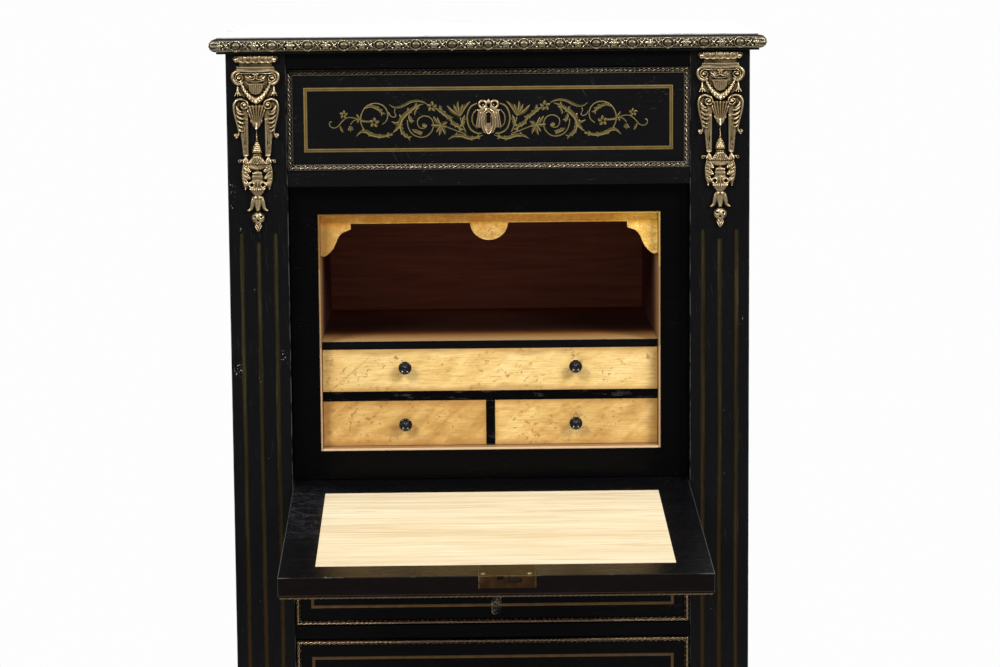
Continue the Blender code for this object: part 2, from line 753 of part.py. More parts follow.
# Pivot hinges: a plate let into each end of the fall, with a pin that turns in the pilaster
for name, side in (("left", -1), ("right", 1)):
    end = side * FRONT_HALF
    plate_in = side * (FRONT_HALF - PIVOT_PLATE)
    half_wide = PIVOT_PLATE_WIDE / 2
    plate_low = (min(end, plate_in), -half_wide, -PIVOT_PLATE_BELOW)
    plate_high = (max(end, plate_in), half_wide, PIVOT_PLATE_LONG - PIVOT_PLATE_BELOW)
    hinge = on_fall(add_piece("pivot_" + name, box_mesh("pivot_" + name, plate_low, plate_high), BRASS))
    pin = add_cutter(
        "pin_" + name,
        rod_mesh(
            "pin_" + name,
            PIN_RADIUS,
            (side * (FRONT_HALF - PIN_IN_FALL), 0.0, 0.0),
            (side * (POST_INNER + PIN_IN_POST - DRAWER_GAP), 0.0, 0.0),
            PIN_SIDES,
        ),
    )
    pin.parent = fall_axis
    combine(hinge, pin, "UNION")
    recess_in = side * (FRONT_HALF - PIVOT_PLATE - GAP)
    recess_out = side * (FRONT_HALF + CUT_OVER)
    cut_box(
        fall_panel,
        "plate_recess_" + name,
        (min(recess_in, recess_out), plate_low[1] - GAP, plate_low[2] - GAP),
        (max(recess_in, recess_out), plate_high[1] + GAP, plate_high[2] + GAP),
    )
    cut_rod(
        fall_panel,
        "pin_hole_" + name,
        PIN_RADIUS + GAP,
        (side * (FRONT_HALF - PIN_IN_FALL - GAP), 0.0, 0.0),
        (side * (FRONT_HALF + CUT_OVER), 0.0, 0.0),
        PIN_SIDES,
    )

# Lock let into the fall's free edge, its bolt, and the key in its outer face
LOCK_LOW = LOCK_SHIFT - LOCK_WIDTH / 2
LOCK_HIGH = LOCK_SHIFT + LOCK_WIDTH / 2
CASE_LOW = LOCK_SHIFT - LOCK_CASE_WIDTH / 2
CASE_HIGH = LOCK_SHIFT + LOCK_CASE_WIDTH / 2
CASE_Y = FALL_FACE - LOCK_CASE_THICK
CASE_Z = FALL_REACH - LOCK_CASE_DEPTH
LOCK_SOLIDS = (
    (
        "lock_plate",
        (LOCK_LOW, FALL_FACE - LOCK_PLATE, FALL_REACH - LOCK_DEPTH),
        (LOCK_HIGH, FALL_FACE, FALL_REACH),
    ),
    (
        "lock_selvedge",
        (LOCK_LOW, FALL_FACE - LOCK_SELVEDGE, FALL_REACH - LOCK_PLATE),
        (LOCK_HIGH, FALL_FACE, FALL_REACH),
    ),
    ("lock_case", (CASE_LOW, CASE_Y, CASE_Z), (CASE_HIGH, FALL_FACE - GAP, FALL_REACH - GAP)),
)
fall_lock = None
for name, low, high in LOCK_SOLIDS:
    solid = box_mesh(name, low, high)
    if fall_lock is None:
        fall_lock = on_fall(add_piece("fall_lock", solid, BRASS))
    else:
        other = add_cutter(name, solid)
        other.parent = fall_axis
        combine(fall_lock, other, "UNION")
    open_y = FALL_FACE + CUT_OVER
    open_z = FALL_REACH + CUT_OVER
    cut_box(
        fall_panel,
        name + "_recess",
        (low[0] - GAP, low[1] - GAP, low[2] - GAP),
        (high[0] + GAP, open_y, open_z),
    )
BOLT_LOW = BOLT_SHIFT - BOLT_WIDTH / 2
BOLT_HIGH = BOLT_SHIFT + BOLT_WIDTH / 2
BOLT_Y = CASE_Y + BOLT_IN_CASE
cut_box(
    fall_lock,
    "bolt_way",
    (BOLT_LOW - GAP, BOLT_Y - GAP, FALL_REACH - BOLT_LONG - GAP),
    (BOLT_HIGH + GAP, BOLT_Y + BOLT_THICK + GAP, FALL_REACH + CUT_OVER),
)
on_fall(
    board(
        "fall_bolt",
        (BOLT_LOW, BOLT_Y, FALL_REACH - BOLT_LONG),
        (BOLT_HIGH, BOLT_Y + BOLT_THICK, FALL_REACH),
        STEEL,
        TINY_EDGE,
    )
)
MORTISE_ROOM = DRAWER_GAP * 2
cut_box(
    rails["upper_divider"],
    "bolt_mortise",
    (BOLT_LOW - MORTISE_ROOM, PIVOT_BACK + BOLT_Y - MORTISE_ROOM, Z_OPENING_TOP - CUT_OVER),
    (BOLT_HIGH + MORTISE_ROOM, PIVOT_BACK + BOLT_Y + BOLT_THICK + MORTISE_ROOM, Z_OPENING_TOP + BOLT_THROW),
)
KEY_Z = FALL_REACH - KEY_FROM_EDGE
KEY_TIP = CASE_Y + KEY_IN_CASE
KEY_HOLE = KEY_SHANK + GAP
cut_rod(
    fall_lock,
    "lock_key_hole",
    KEY_HOLE,
    (0.0, CASE_Y - CUT_OVER, KEY_Z),
    (0.0, KEY_TIP + GAP, KEY_Z),
    KEY_SIDES,
)
cut_rod(
    fall_panel,
    "fall_key_hole",
    KEY_HOLE,
    (0.0, -PIVOT_BACK - CUT_OVER, KEY_Z),
    (0.0, CASE_Y + CUT_OVER, KEY_Z),
    KEY_SIDES,
)
key_axis = bpy.data.objects.new("key_axis", None)
key_axis.parent = fall_axis
key_axis.location = (0.0, -PIVOT_BACK, KEY_Z)
key_axis.rotation_euler = (0.0, KEY_TURN, 0.0)
PIECES.objects.link(key_axis)
KEY_REACH = KEY_TIP + PIVOT_BACK
key = add_piece(
    "key", rod_mesh("key", KEY_SHANK, (0.0, KEY_REACH, 0.0), (0.0, -KEY_NECK, 0.0), KEY_SIDES), STEEL
)
key.parent = key_axis
COLLAR_FOOT = (0.0, KEY_COLLAR_LONG - KEY_NECK, 0.0)
collar = add_cutter(
    "key_collar", rod_mesh("key_collar", KEY_COLLAR, COLLAR_FOOT, (0.0, -KEY_NECK, 0.0), KEY_SIDES)
)
collar.parent = key_axis
combine(key, collar, "UNION")


def bow_mesh():
    """An oval ring of round wire that starts inside the key's collar."""
    bm = bmesh.new()
    rows = []
    for n in range(BOW_STEPS):
        angle = 2 * math.pi * n / BOW_STEPS
        row = []
        for k in range(RUN_SIDES):
            swing = 2 * math.pi * k / RUN_SIDES
            out = KEY_WIRE * math.cos(swing)
            along = (KEY_BOW_LONG / 2 - KEY_WIRE + out) * math.cos(angle)
            across = (KEY_BOW_WIDE / 2 - KEY_WIRE + out) * math.sin(angle)
            start = -KEY_NECK + KEY_WIRE - KEY_BOW_LONG / 2
            row.append(bm.verts.new((across, start + along, KEY_WIRE * math.sin(swing))))
        rows.append(row)
    bridge(bm, rows, True)
    return to_mesh(bm, "key_bow")


key_bow = add_cutter("key_bow", bow_mesh())
key_bow.parent = key_axis
combine(key, key_bow, "UNION")

# Stop frame behind the fall
FRAME_INSET = DIVIDER_HALF - INNER_HALF - GAP
frame = board(
    "stop_frame",
    (-DIVIDER_HALF, Y_FRAME, Z_FRAME),
    (DIVIDER_HALF, Y_FRAME + FRAME_THICK, Z_OPENING_TOP - GAP),
    EBONY,
)
cut_box(
    frame,
    "stop_frame_opening",
    (-DIVIDER_HALF + FRAME_INSET, Y_FRAME - CUT_OVER, Z_INNER - GAP),
    (DIVIDER_HALF - FRAME_INSET, Y_FRAME + FRAME_THICK + CUT_OVER, Z_INNER_TOP + GAP),
)

# Fitted interior: sides that stand on the sill, top, bottom, shelf, rail, divider and valance
SIDE_FOOT_Y = Y_FRAME + FRAME_THICK + GAP
side_outline = (
    (Y_INNER, Z_INNER),
    (Y_INNER, Z_INNER_TOP),
    (Y_INSIDE, Z_INNER_TOP),
    (Y_INSIDE, Z_SILL + GAP),
    (SIDE_FOOT_Y, Z_SILL + GAP),
    (SIDE_FOOT_Y, Z_INNER),
)
for name, side in (("left", -1), ("right", 1)):
    near = [(side * (INNER_HALF - INNER_WALL), *point) for point in side_outline]
    far = [(side * INNER_HALF, *point) for point in side_outline]
    soften(add_piece("inner_side_" + name, prism_mesh("inner_side_" + name, near, far), MAPLE), TINY_EDGE)
board("inner_bottom", (-INNER_CLEAR, Y_INNER, Z_INNER), (INNER_CLEAR, Y_INSIDE, Z_SMALL), MAPLE, TINY_EDGE)
board("inner_rail", (-INNER_CLEAR, Y_CASE, Z_SMALL_TOP), (INNER_CLEAR, Y_INSIDE, Z_LONG), EBONY, TINY_EDGE)
board(
    "inner_shelf",
    (-INNER_CLEAR, Y_CASE, Z_LONG_TOP),
    (INNER_CLEAR, Y_INSIDE, Z_SHELF_TOP),
    MAPLE,
    TINY_EDGE,
)
board(
    "inner_divider",
    (-INNER_DIVIDER / 2, Y_CASE, Z_SMALL + GAP),
    (INNER_DIVIDER / 2, Y_INSIDE, Z_SMALL_TOP - GAP),
    EBONY,
    TINY_EDGE,
)
board(
    "inner_top",
    (-INNER_CLEAR, Y_INNER, Z_INNER_TOP - INNER_WALL),
    (INNER_CLEAR, Y_INSIDE, Z_INNER_TOP),
    MAPLE,
    TINY_EDGE,
)


def valance_outline():
    """Half of the valance's lower edge, from the middle of the pendant out to the bracket's foot."""
    band = Z_INNER_TOP - VALANCE_BAND
    half = []
    for n in range(CURVE_STEPS + 1):
        angle = math.pi / 2 * n / CURVE_STEPS
        half.append((PENDANT_HALF * math.sin(angle), band - PENDANT_DROP * math.cos(angle)))
    for out, down in VALANCE_BRACKET:
        half.append((INNER_CLEAR - VALANCE_REACH * out, band - (VALANCE_DROP - VALANCE_BAND) * down))
    half.append((INNER_CLEAR, Z_INNER_TOP - INNER_WALL - GAP))
    return half


half_edge = valance_outline()
valance_edge = [(-across, height) for across, height in reversed(half_edge)] + half_edge[1:]
add_piece(
    "valance",
    prism_mesh(
        "valance",
        [(across, Y_CASE, height) for across, height in valance_edge],
        [(across, Y_CASE + VALANCE_THICK, height) for across, height in valance_edge],
    ),
    MAPLE,
)


# Drawers: a front with a tray behind it
def place_at(piece, origin):
    piece.data.transform(Matrix.Translation(-Vector(origin)))
    piece.location = origin
    return piece


def tray(name, low, high, wall, floor):
    origin = Vector(((low[0] + high[0]) / 2, low[1], (low[2] + high[2]) / 2))
    piece = place_at(board(name, low, high, OAK), origin)
    inside = add_cutter(
        name + "_inside",
        box_mesh(
            name + "_inside",
            Vector((low[0] + wall, low[1] - CUT_OVER, low[2] + floor)) - origin,
            Vector((high[0] - wall, high[1] - wall, high[2] + CUT_OVER)) - origin,
        ),
    )
    inside.location = origin
    combine(piece, inside, "DIFFERENCE")


for name, low, high in (
    ("top_drawer", Z_TOP_DRAWER, Z_TOP_DRAWER_TOP),
    ("high_drawer", Z_HIGH, Z_HIGH_TOP),
    ("mid_drawer", Z_MID, Z_MID_TOP),
    ("low_drawer", Z_LOW, Z_LOW_TOP),
):
    centre = Vector((0.0, 0.0, (low + high) / 2))
    front = board(name + "_front", (-FRONT_HALF, 0.0, low), (FRONT_HALF, FRONT_THICK, high), EBONY)
    place_at(front, centre)
    rim = add_piece(
        name + "_moulding",
        frame_mesh(name + "_moulding", FRONT_HALF, low, high, moulding_section(-GAP)),
        BRONZE,
    )
    place_at(rim, centre)
    tray(
        name + "_tray",
        (-FRONT_HALF, FRONT_THICK + GAP, low),
        (FRONT_HALF, Y_INSIDE - TRAY_BACK_ROOM, high - TRAY_TOP_ROOM),
        TRAY_WALL,
        TRAY_FLOOR,
    )


# Turned knobs
def knob(name, across, height, face):
    verts = [(KNOB_RADIUS * out, 0.0, KNOB_LENGTH * up) for out, up in KNOB_OUTLINE]
    mesh = bpy.data.meshes.new(name)
    mesh.from_pydata(verts, [(n, n + 1) for n in range(len(verts) - 1)], [])
    piece = add_piece(name, mesh, EBONY)
    turn = piece.modifiers.new("turned", "SCREW")
    turn.steps = KNOB_STEPS
    turn.render_steps = KNOB_STEPS
    turn.use_merge_vertices = True
    turn.merge_threshold = KNOB_MERGE
    piece.rotation_euler = (math.pi / 2, 0.0, 0.0)
    piece.location = (across, face - GAP, height)


Y_INNER_FRONT = Y_CASE + INNER_FRONT_BACKSET
INNER_FRONT_HALF = INNER_HALF - INNER_WALL - INNER_GAP
SMALL_NEAR = INNER_DIVIDER / 2 + INNER_GAP
KNOB_X = INNER_FRONT_HALF * KNOB_SHIFT
Z_LONG_KNOB = (Z_LONG + Z_LONG_TOP) / 2 + LONG_KNOB_RAISE
Z_SMALL_KNOB = (Z_SMALL + Z_SMALL_TOP) / 2
for name, x_low, x_high, low, high, knobs in (
    (
        "long_drawer",
        -INNER_FRONT_HALF,
        INNER_FRONT_HALF,
        Z_LONG,
        Z_LONG_TOP,
        (("_left", -1, Z_LONG_KNOB), ("_right", 1, Z_LONG_KNOB)),
    ),
    ("small_drawer_left", -INNER_FRONT_HALF, -SMALL_NEAR, Z_SMALL, Z_SMALL_TOP, (("", -1, Z_SMALL_KNOB),)),
    ("small_drawer_right", SMALL_NEAR, INNER_FRONT_HALF, Z_SMALL, Z_SMALL_TOP, (("", 1, Z_SMALL_KNOB),)),
):
    bottom = low + INNER_GAP
    top = high - INNER_GAP
    centre = Vector(((x_low + x_high) / 2, Y_INNER_FRONT, (low + high) / 2))
    front = board(
        name + "_front",
        (x_low, Y_INNER_FRONT, bottom),
        (x_high, Y_INNER_FRONT + INNER_FRONT, top),
        MAPLE,
        TINY_EDGE,
    )
    place_at(front, centre)
    tray(
        name + "_tray",
        (x_low, Y_INNER_FRONT + INNER_FRONT + GAP, bottom),
        (x_high, Y_INSIDE - INNER_TRAY_ROOM, top - INNER_TRAY_TOP),
        INNER_TRAY_WALL,
        INNER_TRAY_FLOOR,
    )
    for end, side, height in knobs:
        knob(name + "_knob" + end, side * KNOB_X, height, Y_INNER_FRONT)


# Escutcheon of the top drawer: an oval shield with a ribbon bow over it and a drop below
def lobe_mesh(name, across, up, wide, tall):
    bm = bmesh.new()
    place = Matrix.LocRotScale(Vector((across, 0.0, up)), None, Vector((wide, ESCUTCHEON_PROUD, tall)))
    bmesh.ops.create_uvsphere(bm, u_segments=KEY_SIDES, v_segments=BEAD_RINGS, radius=1.0, matrix=place)
    return to_mesh(bm, name)


ESCUTCHEON_HALF = ESCUTCHEON_TALL / 2
escutcheon = add_piece(
    "top_drawer_escutcheon",
    lobe_mesh("top_drawer_escutcheon", 0.0, 0.0, ESCUTCHEON_WIDE / 2, ESCUTCHEON_HALF),
    BRONZE,
)
escutcheon.location = (0.0, 0.0, (Z_TOP_DRAWER + Z_TOP_DRAWER_TOP) / 2)
for name, across, up, wide, tall in (
    ("escutcheon_bow_left", -BOW_OFFSET, ESCUTCHEON_HALF, BOW_LOOP_WIDE, BOW_LOOP_TALL),
    ("escutcheon_bow_right", BOW_OFFSET, ESCUTCHEON_HALF, BOW_LOOP_WIDE, BOW_LOOP_TALL),
    ("escutcheon_drop", 0.0, -ESCUTCHEON_HALF, DROP_TALL, DROP_TALL),
):
    other = add_cutter(name, lobe_mesh(name, across, up, wide, tall))
    other.location = escutcheon.location
    combine(escutcheon, other, "UNION")
for name, low, high in (
    (
        "escutcheon_behind",
        (-ESCUTCHEON_TALL, -GAP, -ESCUTCHEON_TALL),
        (ESCUTCHEON_TALL, FRONT_THICK, ESCUTCHEON_TALL),
    ),
    (
        "escutcheon_keyhole",
        (-KEYHOLE_WIDE / 2, -ESCUTCHEON_PROUD - CUT_OVER, -KEYHOLE_TALL / 2),
        (KEYHOLE_WIDE / 2, CUT_OVER, KEYHOLE_TALL / 2),
    ),
):
    cutter = add_cutter(name, box_mesh(name, low, high))
    cutter.location = escutcheon.location
    combine(escutcheon, cutter, "DIFFERENCE")
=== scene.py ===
import math

import bpy
import numpy as np
from mathutils import Matrix


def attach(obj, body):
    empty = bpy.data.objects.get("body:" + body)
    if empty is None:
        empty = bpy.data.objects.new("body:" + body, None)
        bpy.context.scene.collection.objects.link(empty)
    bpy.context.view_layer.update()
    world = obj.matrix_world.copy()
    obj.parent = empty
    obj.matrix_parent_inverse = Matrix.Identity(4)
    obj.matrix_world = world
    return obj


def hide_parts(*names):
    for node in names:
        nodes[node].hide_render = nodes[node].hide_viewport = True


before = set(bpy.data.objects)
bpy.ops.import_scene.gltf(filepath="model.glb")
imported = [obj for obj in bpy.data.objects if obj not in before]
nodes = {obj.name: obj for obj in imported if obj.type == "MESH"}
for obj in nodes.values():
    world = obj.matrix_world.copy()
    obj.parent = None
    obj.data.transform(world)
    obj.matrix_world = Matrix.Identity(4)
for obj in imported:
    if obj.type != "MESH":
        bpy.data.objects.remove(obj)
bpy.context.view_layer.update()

# Camera, found by fitting the photograph's edges
LENS = 109.811
SENSOR = 36.0
CAMERA_AT = (-0.0478, -3.9639, 1.4930)
YAW, PITCH, ROLL = (math.radians(angle) for angle in (-0.8738, -7.8480, 0.4622))


def make_camera():
    cy, sy = math.cos(YAW), math.sin(YAW)
    cp, sp = math.cos(PITCH), math.sin(PITCH)
    cr, sr = math.cos(ROLL), math.sin(ROLL)
    level = np.array((cy, sy, 0.0))
    ahead = np.array((-cp * sy, cp * cy, sp))
    upward = np.array((sp * sy, -sp * cy, cp))
    right = cr * level - sr * upward
    up = sr * level + cr * upward
    data = bpy.data.cameras.new("camera")
    data.lens = LENS
    data.sensor_width = SENSOR
    camera = bpy.data.objects.new("camera", data)
    columns = np.column_stack((right, up, -ahead))
    camera.matrix_world = Matrix.Translation(CAMERA_AT) @ Matrix(columns.tolist()).to_4x4()
    bpy.context.scene.collection.objects.link(camera)
    bpy.context.scene.camera = camera


# Node materials
class Shader:
    """A material with one Principled shader, and short calls that add nodes to it."""

    def __init__(self, name, **sockets):
        self.material = bpy.data.materials.new(name)
        self.material.use_nodes = True
        self.tree = self.material.node_tree
        self.tree.nodes.clear()
        self.surface = self.tree.nodes.new("ShaderNodeBsdfPrincipled")
        output = self.tree.nodes.new("ShaderNodeOutputMaterial")
        self.tree.links.new(self.surface.outputs[0], output.inputs["Surface"])
        for key, value in sockets.items():
            self.set(key, value)
        place = self.tree.nodes.new("ShaderNodeTexCoord")
        self.place = place.outputs["Object"]
        self.normal = place.outputs["Normal"]

    def set(self, key, value):
        socket = self.surface.inputs[key.replace("_", " ").title().replace("Ior", "IOR")]
        self.feed(socket, value)

    def feed(self, socket, value):
        if isinstance(value, bpy.types.NodeSocket):
            self.tree.links.new(value, socket)
        elif isinstance(value, tuple) and socket.type == "RGBA":
            socket.default_value = (*value, 1.0)
        else:
            socket.default_value = value

    def node(self, kind, **settings):
        made = self.tree.nodes.new("ShaderNode" + kind)
        for key, value in settings.items():
            setattr(made, key, value)
        return made

    def fed(self, made, **inputs):
        """Feeds a node's inputs by their names."""
        for key, value in inputs.items():
            self.feed(made.inputs[key.replace("_", " ").title()], value)
        return made

    def mapped(self, at=None, **changes):
        """Places changed by a location, rotation or scale."""
        return self.fed(self.node("Mapping"), vector=at or self.place, **changes).outputs[0]

    def scaled(self, scale, at=None):
        return self.mapped(at, scale=scale)

    def axis(self, name):
        made = self.node("SeparateXYZ")
        self.feed(made.inputs[0], self.place)
        return made.outputs[name]

    def math(self, operation, first, second=0.0, third=0.0, clamp=False):
        made = self.node("Math", operation=operation, use_clamp=clamp)
        for socket, value in zip(made.inputs, (first, second, third)):
            self.feed(socket, value)
        return made.outputs[0]

    def times(self, first, second):
        return self.math("MULTIPLY", first, second)

    def linear(self, value, slope, start, clamp=False):
        return self.math("MULTIPLY_ADD", value, slope, start, clamp)

    def apart(self, first, second):
        """How far one value is from another."""
        return self.math("ABSOLUTE", self.math("SUBTRACT", first, second))

    def nearest(self, value, places):
        """How far a value is from the nearest of several places."""
        near = self.apart(value, places[0])
        for place in places[1:]:
            near = self.math("MINIMUM", near, self.apart(value, place))
        return near

    def noise(self, scale, at=None, detail=4.0, roughness=0.55, distortion=0.0):
        made = self.fed(self.node("TexNoise"), vector=at or self.place, scale=scale, detail=detail,
                        roughness=roughness, distortion=distortion)
        return made.outputs[0]

    def grain(self, stretch, at=None, **settings):
        """Noise drawn out by its own scale on each axis."""
        return self.noise(1.0, self.scaled(stretch, at), **settings)

    def cells(self, scale, at=None):
        made = self.fed(self.node("TexVoronoi"), vector=at or self.place, scale=scale)
        return made.outputs["Distance"], made.outputs["Color"]

    def ramp(self, value, *stops):
        made = self.node("ValToRGB")
        band = made.color_ramp
        while len(band.elements) < len(stops):
            band.elements.new(0.5)
        for element, (at, colour) in zip(band.elements, stops):
            element.position = at
            element.color = (*colour, 1.0) if isinstance(colour, tuple) else (colour, colour, colour, 1.0)
        self.feed(made.inputs[0], value)
        return made.outputs[0]

    def step(self, value, low, high):
        """0 below low, 1 above high, smooth between, and the other way round where low is over high."""
        made = self.node("MapRange", interpolation_type="SMOOTHSTEP")
        start, end = (0.0, 1.0) if low <= high else (1.0, 0.0)
        low, high = sorted((low, high))
        return self.fed(made, value=value, from_min=low, from_max=high, to_min=start, to_max=end).outputs[0]

    def mix(self, share, first, second, blend="MIX"):
        made = self.node("Mix", data_type="RGBA", blend_type=blend)
        self.feed(made.inputs[0], share)
        self.feed(made.inputs[6], first)
        self.feed(made.inputs[7], second)
        return made.outputs[2]

    def both(self, *shares):
        whole = shares[0]
        for share in shares[1:]:
            whole = self.times(whole, share)
        return whole

    def either(self, *shares):
        whole = shares[0]
        for share in shares[1:]:
            whole = self.math("MAXIMUM", whole, share)
        return whole

    def hollows(self, reach):
        return self.fed(self.node("AmbientOcclusion", samples=8), distance=reach).outputs["AO"]

    def bump(self, height, depth, strength=1.0):
        made = self.fed(self.node("Bump"), height=height, distance=depth, strength=strength)
        self.set("normal", made.outputs[0])

    def done(self, colour, rough, height, depth, strength=1.0):
        """Sets colour, roughness and bump, and gives the finished material."""
        self.set("base_color", colour)
        self.set("roughness", rough)
        self.bump(height, depth, strength)
        return self.material


LACQUER_DARK = (0.0014, 0.0015, 0.0020)
LACQUER_PALE = (0.0056, 0.0057, 0.0070)
LACQUER_DEEP = (0.0004, 0.0004, 0.0004)
LACQUER_WORN = (0.155, 0.140, 0.125)
CHIP = (0.72, 0.70, 0.66)


def drawn_out(along, by_length, by_width):
    """A texture's scale on each axis, where it is drawn out along one of them."""
    return tuple(by_length if axis == along else by_width for axis in "xyz")


def hairlines(shade, along, turn=0.12):
    """Thin straight scratches a little off the grain."""
    slant = shade.mapped(rotation=(0.0, turn, 0.0) if along == "z" else (turn, turn, turn))
    return shade.step(shade.grain(drawn_out(along, 20.0, 1100.0), slant, detail=1.0), 0.66, 0.72)


def lacquer_parts(shade, along="z"):
    """Colour, roughness and height of black polished wood with fine grain, rubs, hairlines and specks."""
    grain = shade.grain(drawn_out(along, 14.0, 900.0), detail=3.0)
    cloud = shade.noise(7.0, detail=5.0)
    colour = shade.mix(shade.both(grain, cloud), LACQUER_DARK, LACQUER_PALE)
    rub = shade.noise(3.0, shade.scaled(drawn_out(along, 9.0, 60.0)), detail=6.0)
    lines = shade.both(hairlines(shade, along), shade.step(shade.noise(9.0, detail=3.0), 0.52, 0.62))
    near, kind = shade.cells(130.0)
    specks = shade.both(shade.step(near, 0.10, 0.05), shade.step(kind, 0.90, 0.92))
    worn = shade.either(shade.times(lines, 0.16), shade.times(specks, 0.6))
    colour = shade.mix(worn, colour, LACQUER_WORN)
    rough = shade.linear(rub, 0.24, 0.13)
    return colour, rough, shade.linear(grain, 0.5, shade.times(rub, 0.5))


def lacquer(name, along="z", edge=None, inside=None, deep=0.0, shine=0.19, scratches=()):
    """Black polish: edge gives a share of wear, inside where wood is bare, scratches x, z, turn."""
    shade = Shader(name, specular_ior_level=shine, metallic=0.0)
    colour, rough, height = lacquer_parts(shade, along)
    if deep:
        colour = shade.mix(deep, colour, LACQUER_DEEP)
    if edge:
        share = shade.both(edge(shade), shade.step(shade.noise(190.0, detail=6.0), 0.40, 0.58))
        colour = shade.mix(share, colour, LACQUER_WORN)
        chips = shade.both(edge(shade), shade.step(shade.noise(420.0, detail=3.0), 0.62, 0.67))
        colour = shade.mix(chips, colour, CHIP)
    for x, z, turn in scratches:
        off_x = shade.step(shade.apart(shade.axis("X"), x), 0.020, 0.012)
        off_z = shade.step(shade.apart(shade.axis("Z"), z), 0.017, 0.008)
        colour = shade.mix(shade.both(off_x, off_z, hairlines(shade, "z", turn), 0.32), colour, LACQUER_WORN)
    if inside:
        wood = oak_colour(shade)
        share = shade.step(shade.axis("Y"), *inside)
        colour = shade.mix(share, colour, wood)
        rough = shade.math("MAXIMUM", rough, shade.times(share, 0.55))
    return shade.done(colour, rough, height, 0.00006)


# The fall at rest: its pivot's y and z, its lie, its two faces, its free edge and its moulding's other edge
FALL_PIVOT = (0.008, 0.731977)
FALL_TURN = (-0.091331, 0.995821)
FALL_OUTER, FALL_INNER = -0.008, 0.0155
FALL_EDGE = 0.408523
FALL_MOULD_LOW = -0.0115


def fall_places(shade):
    """Distance from the fall's pivot and height over its middle plane, at rest."""
    c, s = FALL_TURN
    back = shade.math("SUBTRACT", shade.axis("Y"), FALL_PIVOT[0])
    up = shade.math("SUBTRACT", shade.axis("Z"), FALL_PIVOT[1])
    return shade.linear(back, -s, shade.times(up, c)), shade.linear(back, c, shade.times(up, s))


def fall_material(name):
    """Black polished wood, rubbed pale along its edges, scuffed near the left corner, brown below."""
    shade = Shader(name, specular_ior_level=0.19)
    colour, rough, height = lacquer_parts(shade, "x")
    forward, over = fall_places(shade)
    across = shade.axis("X")
    front, face = shade.step(forward, 0.4072, 0.4081), shade.step(over, 0.0143, 0.0151)
    fore = shade.step(forward, 0.40845, 0.40851)
    colour = shade.mix(fore, colour, shade.mix(height, (0.0016, 0.0007, 0.0006), (0.0040, 0.0019, 0.0014)))
    sides = shade.step(shade.math("ABSOLUTE", across), 0.2600, 0.2609)
    even = shade.linear(shade.grain((90.0, 90.0, 300.0), detail=4.0), 1.1, -0.12, clamp=True)
    ends = shade.step(shade.math("ADD", shade.math("ABSOLUTE", across), shade.times(shade.noise(40.0), 0.05)),
                      0.256, 0.282)
    patch = shade.step(shade.grain((26.0, 26.0, 26.0), detail=5.0), 0.56, 0.70)
    ridge = shade.both(front, face, shade.either(ends, patch, 0.12))
    edge = shade.both(sides, shade.either(face, shade.times(front, 0.5)))
    colour = shade.mix(shade.both(shade.either(ridge, edge), even), colour, (0.155, 0.150, 0.145))
    nicks = shade.both(shade.step(forward, 0.4050, 0.4070), face,
                       shade.step(shade.noise(240.0, detail=2.0), 0.72, 0.76))
    colour = shade.mix(shade.times(nicks, 0.7), colour, CHIP)
    under = shade.both(front, shade.step(over, -0.0062, -0.0076))
    colour = shade.mix(shade.times(under, 0.3), colour, (0.155, 0.085, 0.040))
    corner = shade.both(shade.step(across, -0.180, -0.226), shade.step(forward, 0.0, 0.05),
                        shade.step(forward, 0.30, 0.16), shade.step(over, 0.0120, 0.0145))
    haze = shade.times(shade.step(shade.noise(48.0, detail=9.0, roughness=0.7, distortion=0.4), 0.44, 0.70),
                       0.34)
    scuff = shade.either(hairlines(shade, "x", 0.25), shade.times(hairlines(shade, "x", -0.5), 0.8), haze)
    colour = shade.mix(shade.both(scuff, corner, 0.75), colour, (0.085, 0.085, 0.100))
    return shade.done(colour, rough, height, 0.00006)


def lock_material(name):
    """Old brass lock: olive plate on top with rubbed rims, browner on the edge that meets the strike."""
    shade = Shader(name, metallic=1.0)
    forward, over = fall_places(shade)
    across = shade.axis("X")
    cloud = shade.noise(60.0, detail=6.0)
    plate = shade.ramp(cloud, (0.32, (0.032, 0.022, 0.007)), (0.52, (0.068, 0.049, 0.016)),
                       (0.72, (0.120, 0.089, 0.034)))
    edge = shade.ramp(cloud, (0.32, (0.050, 0.025, 0.012)), (0.56, (0.094, 0.048, 0.022)),
                      (0.75, (0.145, 0.080, 0.037)))
    colour = shade.mix(shade.step(forward, 0.40845, 0.40851), plate, edge)
    far = shade.apart(across, 0.0130)
    rims = shade.either(shade.step(far, 0.0334, 0.0342),
                        shade.both(shade.step(forward, 0.4070, 0.4082), shade.step(over, 0.0140, 0.0152)))
    colour = shade.mix(shade.both(rims, shade.step(shade.noise(300.0), 0.38, 0.56)), colour,
                       (0.34, 0.27, 0.135))
    spots = shade.step(shade.noise(420.0, detail=4.0), 0.60, 0.68)
    colour = shade.mix(shade.times(spots, 0.6), colour, (0.018, 0.012, 0.007))
    return shade.done(colour, shade.linear(cloud, 0.22, 0.28), shade.grain((60.0, 900.0, 900.0), detail=3.0),
                      0.00006)


def oak_colour(shade, along="x"):
    grain = shade.grain(drawn_out(along, 5.0, 150.0), detail=5.0, distortion=0.6)
    pore = shade.grain(drawn_out(along, 40.0, 900.0), detail=2.0)
    colour = shade.ramp(grain, (0.30, (0.30, 0.19, 0.09)), (0.52, (0.43, 0.29, 0.145)),
                        (0.72, (0.53, 0.37, 0.20)))
    return shade.mix(shade.step(pore, 0.62, 0.72), colour, (0.17, 0.095, 0.042))


def fibre_of(shade, along):
    return shade.grain(drawn_out(along, 20.0, 700.0), detail=3.0)


def oak(name, along):
    shade = Shader(name, specular_ior_level=0.3)
    fibre = fibre_of(shade, along)
    return shade.done(oak_colour(shade, along), shade.linear(fibre, 0.25, 0.45), fibre, 0.00015)


